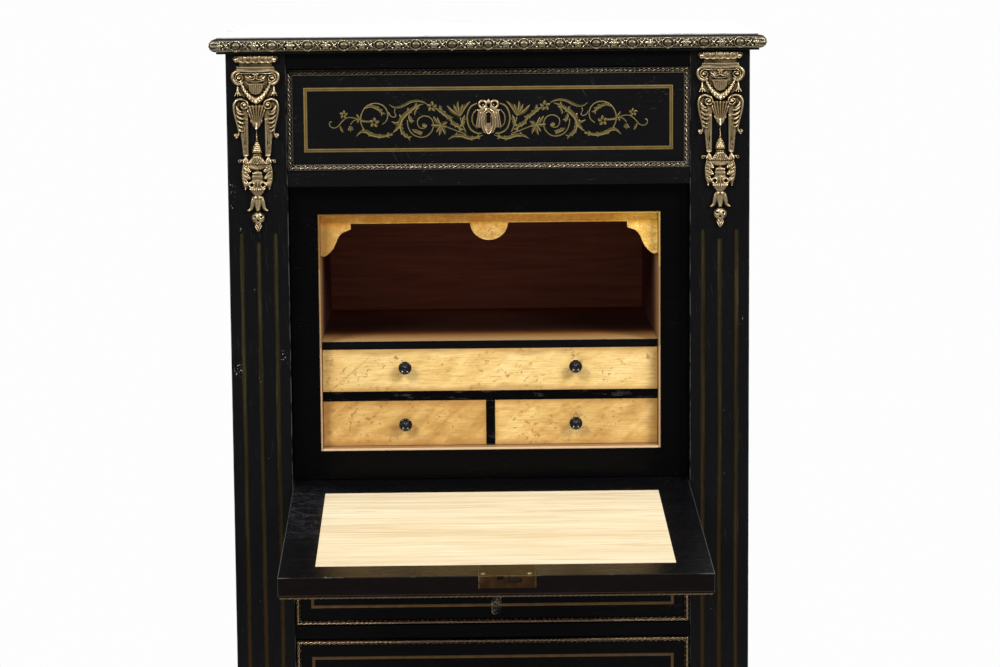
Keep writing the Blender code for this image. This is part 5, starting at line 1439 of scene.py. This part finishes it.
def chute_relief():
    work = Relief(33.6, 231.0, 0.4)
    x, d = work.x, work.d
    # Cushion with scrolls and rounded ends
    work.stroke(((0, 6.2, 6.2, 6.2), (24.0, 6.3, 5.8, 6.0)), 1, 0.0, 0.35)
    work.carve(d < 0.7, -2.5)
    work.dome(24.4, 7.2, 3.4, 3.4, 9.0, 6.0)
    work.hole(24.4, 8.2, 1.0, 0.9, 6.6)
    for start, end, bend in (((1.0, 11.2), (5.6, 2.0), 0.2), ((9.6, 11.0), (4.8, 3.4), -0.25),
                             ((9.0, 11.0), (14.4, 2.2), 0.25), ((17.6, 11.0), (12.6, 3.2), -0.25),
                             ((17.0, 11.0), (21.8, 2.4), 0.25)):
        work.leaf(start, end, 2.0, 9.2, bend, 0.12)
    # Hollow neck, then the mouldings of the capital
    work.plate(((0, 11.6), (22.4, 11.6), (21.4, 13.4), (22.8, 15.6), (0, 15.6)), 3.6, 0.6)
    work.stroke(((0, 16.6, 1.2, 8.0), (23.4, 16.6, 1.2, 8.0)), 1, 0.0, 0.6)
    work.stroke(((0, 18.9, 1.1, 6.6), (24.2, 19.0, 1.1, 6.6)), 1, 0.0, 0.6)
    # Back plate, and the band that curls into two ears
    work.plate(((0, 18), (24, 18), (29, 22), (31.5, 28), (31, 34), (27, 39.5), (23.5, 42), (20.5, 52),
                (13.8, 59), (6, 64.5), (0, 66.4)), 3.0, 1.2)
    work.stroke(((0, 21.6, 1.7, 7.6), (10, 21.4, 1.7, 7.6), (19, 21.0, 2.0, 7.8), (25.4, 22.2, 2.3, 8.2),
                 (29.0, 26.0, 2.6, 8.6), (29.4, 31.2, 2.7, 8.6), (26.6, 35.9, 2.7, 8.4),
                 (21.6, 38.0, 2.5, 8.0), (17.6, 36.6, 2.0, 7.6)), 6, 0.0, 0.5)
    work.stroke(((0, 24.4, 0.7, 6.8), (8, 24.2, 0.7, 6.8), (15, 24.6, 0.8, 7.4), (20.4, 24.3, 0.9, 8.4)), 4,
                0.0, 0.6)
    work.spiral(20.6, 30.2, 6.3, 2.4, 1.35, -math.pi / 2, 1.15, 9.2)
    work.dome(20.6, 30.2, 2.0, 2.0, 10.6, 7.0)
    # Flower and leaf scrolls between the ears
    for turn in range(5):
        angle = math.radians(-90 + 72 * turn)
        work.leaf((0.9 * math.cos(angle), 26.4 + 0.9 * math.sin(angle)),
                  (3.5 * math.cos(angle), 26.4 + 3.5 * math.sin(angle)), 1.35, 7.4)
    work.dome(0, 26.4, 1.1, 1.1, 8.6, 6.5)
    work.stroke(((0.6, 30.6, 0.9, 6.4), (4.4, 32.6, 0.9, 6.4), (9.4, 31.2, 0.9, 6.6), (13.0, 28.2, 0.8, 6.6)),
                4, 0.0, 0.6)
    work.leaf((3.4, 29.6), (8.6, 27.2), 1.2, 6.4, 0.2)
    work.leaf((6.2, 30.4), (11.4, 30.6), 1.1, 6.4, -0.2)
    work.stroke(((0, 35.8, 0.8, 6.2), (5.6, 35.0, 0.8, 6.2), (12.2, 32.4, 0.7, 6.2)), 4, 0.0, 0.6)
    # Bar and fluted basket
    work.stroke(((0, 38.4, 1.15, 7.8), (10.6, 38.4, 1.1, 7.8)), 1, 0.0, 0.7)
    basket = work.plate(((0, 39.4), (10.4, 39.4), (9.0, 46), (6.0, 51), (0, 53)), 5.6, 1.0)
    work.carve(basket & (d > 39.8), 0.7 * np.cos(x * 2.0 * np.pi / 2.6))
    # Leafy festoon
    work.stroke(((19.6, 34.6, 1.3, 7.6), (17.4, 41.0, 1.8, 7.8), (13.8, 47.6, 2.4, 8.2),
                 (9.2, 53.8, 3.3, 8.6), (4.2, 58.0, 4.2, 9.0), (0, 59.8, 4.6, 9.0)), 5, 0.0, 0.45)
    for at, reach in (((17.4, 41.6), 2.6), ((15.6, 44.8), 3.0), ((13.2, 48.4), 3.4), ((10.6, 51.8), 3.8),
                      ((7.4, 55.2), 4.2), ((3.8, 58.0), 4.4)):
        work.leaf(at, (at[0] + 0.35 * reach, at[1] + 0.75 * reach), 1.25, 10.6, 0.12)
        work.leaf(at, (at[0] - 0.9 * reach, at[1] - 0.25 * reach), 1.1, 10.2, -0.12)
    work.leaf((0.4, 56.8), (0.2, 63.6), 1.9, 11.2)
    # Husk drops at the sides
    work.stroke(((23.4, 40.2, 1.1, 5.4), (23.6, 45.0, 1.5, 6.2), (23.6, 49.0, 2.2, 6.8)), 4, 0.2)
    for tip in ((27.2, 53.2), (23.4, 53.6), (20.0, 53.0)):
        work.leaf((23.5, 47.0), tip, 1.3, 7.4, 0.0)
        work.dome(tip[0], tip[1], 1.1, 1.0, 7.6, 4.0)
    # Consoles: outer band, inner volute, leaflets and foot curls
    work.plate(((13, 58.2), (24.5, 57.2), (28.8, 61), (30.2, 69), (29.4, 77), (27.2, 87), (24.6, 96),
                (23.4, 101), (21.4, 109), (10.3, 109), (10.2, 82), (9.8, 72)), 4.2, 1.0)
    work.stroke(((15.4, 58.8, 1.6, 8.4), (20.6, 57.6, 1.8, 8.8), (25.4, 59.4, 2.0, 9.2),
                 (28.2, 64.4, 2.0, 9.4), (28.7, 71.0, 1.9, 9.2), (27.6, 78.6, 1.8, 8.8),
                 (25.6, 87.0, 1.7, 8.2), (23.6, 95.6, 1.6, 7.6), (22.9, 101.6, 1.5, 7.2),
                 (24.4, 106.6, 1.4, 7.2)), 6, 0.0, 0.5)
    work.spiral(15.6, 65.2, 6.4, 2.5, 1.3, -math.pi / 2, 1.45, 9.2, -1)
    work.dome(15.6, 65.2, 2.1, 2.1, 10.8, 7.0)
    for start, end, wide in (((25.6, 66.0), (19.4, 73.8), 2.0), ((26.2, 71.6), (16.6, 77.2), 2.1),
                             ((25.6, 77.4), (16.2, 83.2), 2.0), ((24.8, 83.4), (16.4, 88.8), 1.8),
                             ((23.6, 89.4), (17.2, 94.6), 1.6), ((22.6, 94.8), (18.0, 99.6), 1.4)):
        work.leaf(start, end, wide, 8.4, -0.18, 0.14, 1.5)
        work.dome(end[0], end[1], 1.15, 1.0, 9.2, 5.0)
    work.spiral(27.0, 104.8, 3.3, 1.2, 1.2, math.pi / 2, 1.05, 7.6)
    work.dome(27.0, 104.8, 1.5, 1.5, 8.6, 5.0)
    # Reeded legs
    for near, far in ((11.4, 11.4), (13.6, 12.7), (15.9, 14.3), (18.2, 16.0), (20.2, 17.4)):
        work.stroke(((near, 84.0 if near < 14 else 96.0, 1.05, 5.4), (far, 131.0, 0.85, 5.6)), 1, 0.0, 0.55)
    # Shell with ribs that rise from its bright foot
    palm = work.plate(((0, 64.6), (3.2, 65.4), (6.2, 64.6), (9.4, 65.6), (12.2, 66.4), (11.5, 70.2),
                       (11.8, 74.0), (10.1, 76.8), (10.2, 80.4), (8.4, 83.0), (8.3, 87.0), (6.2, 89.4),
                       (5.3, 93.0), (2.8, 96.4), (0, 98.0)), 6.4, 1.4)
    fan = np.arctan2(x, np.maximum(100.0 - d, 0.5))
    work.carve(palm, 1.5 * np.cos(fan * 2.0 * np.pi / 0.125) * np.clip((97.0 - d) / 16.0, 0.1, 1.0))
    work.stroke(((0, 87.0, 0.8, 6.8), (0, 92.0, 1.6, 8.0), (0, 96.2, 2.4, 9.4)), 4, 0.0, 0.5)
    # Chain of beads and the scaled cone
    for at, size in ((98.6, 1.1), (100.6, 1.2), (102.6, 1.3), (104.6, 1.4), (106.6, 1.5), (108.4, 2.0),
                     (111.0, 2.4)):
        work.dome(0, at, size, 1.3, 4.6 + size, 2.0)
    cone = work.plate(((0, 112.0), (2.4, 112.4), (4.2, 116.0), (6.2, 121.0), (7.2, 125.4), (6.8, 128.0),
                       (0, 128.6)), 8.2, 5.0)
    rows = np.floor((d - 112.0) / 2.7)
    scale_x = np.abs(((x + 1.5 * (rows % 2)) % 3.0) - 1.5)
    scale_d = ((d - 112.0) % 2.7) / 2.7
    work.carve(cone, 1.5 * scale_d * np.clip(1.0 - (scale_x / 1.6) ** 2, 0.0, 1.0) - 0.9)
    work.stroke(((0, 129.6, 0.9, 5.6), (5.2, 129.6, 0.9, 5.2)), 1, 0.0, 0.5)
    # Pleated bell and fringed dish
    bell = work.plate(((0, 130.2), (5.2, 130.2), (7.2, 133.6), (10.2, 137.2), (14.6, 140.4), (14.8, 142.8),
                       (0, 143.6)), 8.8, 3.0)
    work.carve(bell, 0.9 * np.cos((x - (d - 136.0) * 0.45) * 2.0 * np.pi / 2.7))
    dish = work.plate(((0, 142.6), (15.4, 142.0), (14.6, 145.4), (11.2, 148.0), (6.8, 149.8), (0, 150.4)),
                      6.0, 2.0)
    work.carve(dish, 0.7 * np.cos((x + (d - 141.0) * 0.5) * 2.0 * np.pi / 1.9))
    # Collars on the legs, with leaf tips and small outer curls
    for start, end in (((14.6, 133.0), (11.6, 140.6)), ((14.6, 133.0), (18.2, 140.6)),
                       ((14.6, 131.0), (14.9, 141.4))):
        work.leaf(start, end, 2.0, 7.6, 0.0, 0.15, 1.4)
    work.dome(14.6, 131.2, 3.4, 2.0, 7.0, 4.0)
    work.spiral(22.4, 138.4, 2.6, 1.0, 1.1, math.pi, 0.9, 6.6)
    work.stroke(((17.6, 137.4, 1.2, 5.6), (20.2, 136.2, 1.0, 6.0)), 3)
    # Arms of rolled leaves down to the vase
    work.plate(((12.4, 140), (17.8, 141), (19.6, 148), (20.6, 156), (20.2, 163), (17.8, 170), (15.0, 175),
                (10.6, 172.0), (10.4, 166), (9.4, 158), (9.6, 151)), 5.0, 1.4)
    work.stroke(((16.8, 141.0, 1.5, 6.0), (18.6, 149.0, 1.5, 6.6), (19.1, 157.0, 1.6, 7.0),
                 (18.3, 165.0, 1.6, 6.8), (15.6, 173.6, 1.3, 6.2)), 5)
    for start, end, wide in (((16.2, 145.4), (9.4, 151.4), 3.6), ((18.0, 153.4), (9.8, 160.2), 4.0),
                             ((17.6, 162.4), (11.6, 168.6), 3.4)):
        work.leaf(start, end, wide, 7.6, -0.22, 0.10, 1.5)
        work.stroke(((start[0], start[1] - 1.2, 0.8, 8.0),
                     ((start[0] + end[0]) / 2, start[1] + 0.6, 0.9, 8.8), (end[0], end[1] - 1.6, 1.0, 9.2)),
                    4)
        work.dome(end[0], end[1], 2.0, 1.9, 9.0, 5.0)
    work.dome(15.4, 174.8, 1.8, 1.7, 7.6, 3.0)
    # Moulded block
    work.plate(((0, 149.8), (5.4, 151.4), (7.4, 154.8), (6.8, 156.4), (7.8, 157.4), (7.4, 163.0), (0, 163)),
               6.6, 1.4)
    work.stroke(((0, 153.4, 1.8, 9.0), (5.4, 153.8, 1.6, 8.6)), 2, 0.0, 0.5)
    work.stroke(((0, 158.2, 0.7, 8.0), (7.0, 158.2, 0.7, 7.8)), 1, 0.0, 0.5)
    # Vase with two scrolled eyes and a leaf fringe
    work.plate(((0, 161), (7.4, 161.6), (10.6, 165), (11.9, 170), (11.4, 174), (8.6, 179), (5.4, 183),
                (4.4, 186), (0, 186)), 7.4, 3.4)
    work.ring(7.2, 168.9, 3.4, 1.6, 9.4)
    work.hole(7.2, 169.2, 1.7, 1.6, 4.6)
    work.dome(8.0, 169.8, 0.9, 0.9, 6.6, 4.6)
    work.stroke(((0, 163.0, 0.8, 8.4), (0.2, 168.0, 1.0, 9.0), (0.2, 172.0, 1.4, 9.0)), 3, 0.0, 0.5)
    for at in (1.6, 4.6, 7.4, 10.0):
        work.leaf((at * 1.05, 171.6), (at * 0.82, 177.0 - 0.12 * at), 1.5, 9.4, 0.0, 0.2, 1.5)
    # Bellflower of three petals
    work.leaf((0, 184.0), (0, 204.0), 4.6, 8.4, 0.0, 0.24, 1.0, 0.55)
    work.stroke(((5.0, 185.6, 2.8, 6.8), (6.3, 190.6, 3.4, 7.6), (7.4, 196.0, 3.1, 7.8),
                 (8.9, 200.2, 2.5, 7.8), (12.4, 202.6, 1.7, 8.4)), 5, 0.18)
    work.dome(12.2, 202.2, 1.9, 1.7, 9.2, 5.0)
    work.dome(3.0, 185.6, 3.2, 2.4, 8.2, 5.0)
    # Berry with drilled holes, then a grooved bud
    work.dome(0, 212.2, 9.6, 8.6, 9.2, 2.0)
    for at in ((0.0, 204.8), (4.2, 210.4), (0.0, 215.4)):
        work.hole(at[0], at[1], 1.3, 1.4, 2.6)
    work.leaf((0.8, 206.0), (5.6, 208.6), 2.0, 9.6, 0.2)
    work.leaf((6.6, 213.6), (2.2, 219.0), 1.8, 8.4, 0.2)
    bud = work.plate(((0, 217), (4.4, 217.4), (5.4, 222.0), (4.4, 226.8), (2.0, 230.2), (0, 230.6)), 7.2, 3.6)
    work.carve(bud & (d > 219.0), 0.9 * np.cos((x + (d - 220.0) * 0.55) * 2.0 * np.pi / 3.1))
    work.height = soften(np.minimum(work.height, 11.8), 2)
    return work


CHUTE_TOP = 1.3146


def make_chutes():
    relief = chute_relief()
    for name, middle in (("chute_left", -FLUTES[1]), ("chute_right", FLUTES[1])):
        form = relief.mesh(middle, CHUTE_TOP, -0.0003, 5, 2.0)
        make_piece(name + "_cast", form, CHUTE_GILT, "carcass", stands_for=(name,))


CHUTE_GILT = cast("gilt_bronze_chute", (0.70, 0.565, 0.355), (0.275, 0.208, 0.116), (0.012, 0.0085, 0.005),
                  (0.29, 0.54))
make_chutes()


# Keyhole mounts
def escutcheon_relief():
    work = Relief(17.4, 47.0, 0.25)
    x, d = work.x, work.d
    # Drapery at both sides of the keyhole
    work.plate(((0, 11.4), (5.0, 12.6), (11.0, 13.2), (13.4, 17.0), (14.4, 24.0), (15.6, 30.0), (16.6, 36.2),
                (14.6, 38.0), (12.4, 37.4), (10.0, 37.6), (8.6, 40.4), (6.4, 44.2), (3.2, 45.4), (0, 46.2)),
               2.2, 1.2)
    for path in (((12.2, 14.4, 0.9, 3.0), (13.6, 21.0, 0.9, 3.2), (14.8, 29.0, 1.0, 3.2),
                  (16.0, 36.0, 1.0, 3.2)),
                 ((10.2, 18.0, 0.8, 2.8), (11.2, 25.0, 0.9, 3.0), (12.2, 31.0, 1.0, 3.2),
                  (12.6, 36.6, 1.1, 3.4)),
                 ((8.8, 24.0, 0.8, 2.8), (9.2, 30.0, 0.9, 3.0), (8.8, 35.0, 1.0, 3.2),
                  (7.4, 39.6, 1.0, 3.0))):
        work.stroke(path, 4, 0.0, 0.5)
    work.dome(14.4, 14.6, 1.4, 1.3, 3.4, 1.5)
    # Bow with two open loops and its knot
    work.ring(7.7, 7.0, 4.6, 1.6, 3.4)
    work.hole(7.7, 7.0, 3.0, 3.0, 0.0)
    work.dome(6.6, 7.9, 1.5, 1.3, 1.2, 0.4)
    work.dome(0, 3.8, 2.6, 2.8, 3.4, 1.8)
    work.leaf((0, 5.6), (0, 0.4), 1.5, 3.6, 0.0, 0.2)
    work.stroke(((2.0, 10.6, 0.9, 3.0), (5.0, 12.6, 1.0, 3.2), (8.4, 13.2, 1.0, 3.4), (12.0, 10.4, 1.0, 3.2)),
                4, 0.0, 0.5)
    # Pointed frame over the keyhole, and the oval below it
    work.stroke(((0, 12.4, 1.0, 4.0), (2.8, 13.8, 1.0, 4.0), (5.6, 17.0, 1.0, 3.8), (8.0, 21.6, 1.0, 3.4)), 4,
                0.0, 0.5)
    work.stroke(((4.9, 23.0, 0.8, 3.2), (5.4, 29.0, 0.9, 3.4), (5.6, 34.0, 0.9, 3.4), (4.2, 39.8, 1.0, 3.6),
                 (1.4, 44.6, 1.0, 3.6), (0, 45.4, 1.0, 3.6)), 4, 0.0, 0.5)
    inside = (np.abs(x) < 4.6) & (d > 15.6) & (d < 40.0) & (x < 4.9 - 0.45 * np.clip(d - 33.0, 0.0, None))
    work.height = np.where(inside & (work.height < 2.6), 1.1, work.height)
    # Keyhole
    far = np.hypot(x, d - 20.6)
    work.raise_to(np.where((far < 4.2) & (far > 3.1), 1.7, 0.0))
    open_here = (far < 3.1) | ((x < 2.7) & (d > 20.6) & (d < 31.6))
    work.height = np.where(open_here, 0.0, soften(work.height, 1))
    return work


def plain_escutcheon_relief():
    """A small oval keyhole plate for a lower drawer."""
    work = Relief(9.0, 30.0, 0.3)
    x, d = work.x, work.d
    work.dome(0, 14.0, 8.0, 13.0, 1.6, 0.9)
    turns = np.linspace(0.0, math.pi, 21)
    work.stroke([(7.2 * math.sin(turn), 14.0 - 12.2 * math.cos(turn), 0.8, 2.2) for turn in turns], 1, 0.0,
                0.5)
    work.dome(0, 1.4, 2.4, 1.4, 2.6, 1.0)
    work.dome(0, 27.0, 2.2, 1.8, 2.6, 1.0)
    open_here = (np.hypot(x, d - 11.0) < 2.6) | ((x < 1.6) & (d > 11.0) & (d < 19.6))
    work.height = np.where(open_here, 0.0, work.height)
    return work


def make_escutcheons():
    form = escutcheon_relief().mesh(0.0, 1.2545, -0.0003, 4, 0.9)
    make_piece("top_drawer_keyhole_mount", form, MOUNT_GILT, "top_drawer",
               stands_for=("top_drawer_escutcheon",))
    small = plain_escutcheon_relief()
    for body, middle in (("high_drawer", 0.6220), ("mid_drawer", 0.4558), ("low_drawer", 0.2555)):
        form = small.mesh(0.0, middle + 0.0140, -0.0002, 3, 0.6)
        make_piece(body + "_keyhole_mount", form, MOUNT_GILT, body)


# Turned knobs of the inner drawers: radius and reach from the drawer's face, in millimetres
KNOB_PROFILE = ((4.9, 0.0), (4.9, 0.8), (3.9, 1.5), (3.4, 3.6), (3.6, 6.2), (4.9, 8.6), (7.0, 10.6),
                (8.3, 12.4), (8.75, 13.9), (8.55, 15.2), (7.8, 16.1), (7.0, 16.2), (6.3, 15.7), (5.7, 15.0),
                (4.6, 14.5), (3.4, 14.3), (2.5, 14.6), (2.0, 15.3), (1.4, 15.8), (0.7, 16.0))
KNOB_SIDES = 48
KNOB_FACE = 0.0450


def make_knobs():
    knobs = (
        ("long_drawer_knob_left", "long_drawer", -0.113, 0.8973),
        ("long_drawer_knob_right", "long_drawer", 0.113, 0.8973),
        ("small_drawer_left_knob", "small_drawer_left", -0.113, 0.8212),
        ("small_drawer_right_knob", "small_drawer_right", 0.113, 0.8212),
    )
    profile = flowing(KNOB_PROFILE, 3) * 0.001
    turns = np.linspace(0.0, 2.0 * np.pi, KNOB_SIDES, endpoint=False)
    for name, body, x, z in knobs:
        clay = Clay()
        rows = [np.column_stack((x + r * np.cos(turns), np.full(KNOB_SIDES, KNOB_FACE - out),
                                 z + r * np.sin(turns))) for r, out in profile]
        clay.add(np.array(rows), [face[::-1] for face in grid_faces(len(rows), KNOB_SIDES, wrap=True)])
        tip = len(rows) * KNOB_SIDES
        clay.add([(x, KNOB_FACE - profile[-1][1] - 0.00003, z)], [])
        last = tip - KNOB_SIDES
        clay.faces.extend((last + (i + 1) % KNOB_SIDES, last + i, tip) for i in range(KNOB_SIDES))
        make_piece(name + "_turned", clay.form(), KNOB_BLACK, body, stands_for=(name,))


# Tubes, for wire work
def tube(clay, path, radius, sides=8):
    path = np.asarray(path, float)
    ways = np.gradient(path, axis=0)
    ways /= np.linalg.norm(ways, axis=1, keepdims=True)
    radii = np.broadcast_to(np.asarray(radius, float), (len(path),))
    rows = []
    for place, way, thick in zip(path, ways, radii):
        aside = np.cross(way, (0.31, 0.90, 0.29))
        aside /= max(np.linalg.norm(aside), 1e-9)
        above = np.cross(aside, way)
        turn = np.linspace(0.0, 2.0 * np.pi, sides, endpoint=False)[:, None]
        rows.append(place + thick * (np.cos(turn) * aside + np.sin(turn) * above))
    faces = grid_faces(len(path), sides, wrap=True)
    last = (len(path) - 1) * sides
    faces.append(tuple(range(sides))[::-1])
    faces.append(tuple(last + i for i in range(sides)))
    clay.add(np.array(rows), faces)


# Wires on each side of the key's bow: thickness, and places across and up from its middle, in millimetres
KEY_WIRES = ((0.95,
              ((0.0, 10.4), (4.6, 10.6), (9.0, 8.0), (9.9, 3.8), (7.0, 1.0), (4.4, 2.6), (5.2, 5.2),
               (6.6, 4.6))),
             (1.0, ((1.6, 0.2), (6.0, -0.4), (9.7, -3.2), (8.6, -7.6), (4.6, -10.2), (0.0, -10.5))),
             (0.7, ((0.0, -2.6), (3.0, -2.8), (5.4, -4.8), (4.4, -7.4), (2.4, -7.0), (2.8, -5.4))),
             (0.65, ((0.0, 8.8), (2.0, 7.2), (2.2, 4.6), (0.0, 2.4))),
             (0.6, ((9.8, -1.6), (10.7, 0.0), (9.8, 1.8))),)


def make_key_work():
    """The key's shank, collar and pierced bow, by rows of across and up from the bow's middle, in mm."""
    clay = Clay()

    def place(rows):
        across = rows[:, 0] * 0.001
        return on_fall(across * math.cos(KEY_TURN), KEY_FORWARD - across * math.sin(KEY_TURN),
                       KEY_BOW_MIDDLE + rows[:, 1] * 0.001)

    def wire(points, thick):
        rows = flowing(points, 5)
        tube(clay, place(rows), 0.001 * thick)

    def rod(steps):
        """A straight turned length, from (up, thickness) steps."""
        rows = np.array([(0.0, up) for up, _ in steps])
        tube(clay, place(rows), [0.001 * thick for _, thick in steps], 16)

    rod(((38.4, 2.1), (38.3, 2.2), (12.9, 2.2), (12.8, 3.4), (12.0, 3.6), (10.6, 3.6), (9.9, 2.6),
         (9.4, 1.4)))
    for side in (-1, 1):
        for thick, points in KEY_WIRES:
            wire([(side * across, up) for across, up in points], thick)
    wire([(0.0, 9.6), (0.0, 4.0), (0.0, -4.0), (0.0, -10.0)], 0.75)
    wire([(2.0 * math.cos(turn), 2.0 * math.sin(turn)) for turn in np.linspace(0.0, 2.0 * math.pi, 13)], 0.7)
    rod(((-9.2, 0.5), (-9.7, 1.5), (-10.4, 1.8), (-11.1, 1.4), (-11.5, 0.3)))
    make_piece("key_pierced", clay.form(), KEY_STEEL, "key", stands_for=("key",))


# Lock let into the fall's front edge
def disc(clay, place, radius, rise, slot_turn):
    """A low screw head with a slot, place turning across, forward and up into the frame."""
    rings = ((1.0, 0.0), (0.97, 0.5), (0.8, 0.85), (0.5, 1.0), (0.2, 1.0))
    sides = 28
    rows = []
    for share, up in rings:
        for turn in np.linspace(0.0, 2.0 * np.pi, sides, endpoint=False):
            across, forward = radius * share * math.cos(turn), radius * share * math.sin(turn)
            off = abs(-math.sin(slot_turn) * across + math.cos(slot_turn) * forward)
            cut = 0.6 if off < radius * 0.13 else 0.0
            rows.append(place(across, forward, rise * (up - cut * up)))
    faces = grid_faces(len(rings), sides, wrap=True)
    last = (len(rings) - 1) * sides
    faces.append(tuple(last + i for i in range(sides)))
    clay.add(rows, faces)


MOUTH_ACROSS, MOUTH_UP = (0.0005, 0.0085), (0.0105, 0.0150)


def make_lock_work():
    for name, x, forward, turn in (("left", -0.0160, 0.3990, 0.1), ("right", 0.0400, 0.4000, 0.35)):
        clay = Clay()

        def place(across, along, up):
            return on_fall(np.array([x + across]), np.array([forward + along]),
                           np.array([FALL_INNER + 0.00002 + up]))[0]

        disc(clay, place, 0.0032, 0.00013, turn)
        make_piece("lock_screw_" + name, clay.form(), SCREW_BRASS, "fall")
    clay = Clay()
    (left, right), (low, high) = MOUTH_ACROSS, MOUTH_UP
    across, up = np.array((left, right, right, left)), np.array((low, low, high, high))
    rows = [on_fall(across, np.full(4, FALL_EDGE + out), up) for out in (0.0001, -0.0001)]
    clay.add(rows, [(0, 1, 2, 3), (0, 4, 5, 1), (1, 5, 6, 2), (2, 6, 7, 3), (3, 7, 4, 0)])
    make_piece("lock_bolt_mouth", clay.form(), INLAY_CUT, "fall", smooth=False)


KNOB_BLACK = knob_material("knob_black")
MOUNT_GILT = cast("gilt_bronze_mount", (0.98, 0.79, 0.52), (0.44, 0.33, 0.185), (0.010, 0.0075, 0.0045))
SCREW_BRASS = metal("screw_brass", (0.85, 0.74, 0.52), (0.62, 0.50, 0.32), (0.08, 0.06, 0.03), (0.2, 0.36),
                    0.0006)
KEY_STEEL = metal("key_steel", (0.25, 0.195, 0.145), (0.060, 0.045, 0.033), (0.007, 0.0055, 0.004),
                  (0.22, 0.42), 0.0012)
KEY_TURN = math.radians(58.0)
KEY_FORWARD = 0.379523
KEY_BOW_MIDDLE = -0.0299
make_escutcheons()
make_knobs()
make_key_work()
make_lock_work()

bpy.context.scene.view_settings.view_transform = "Standard"
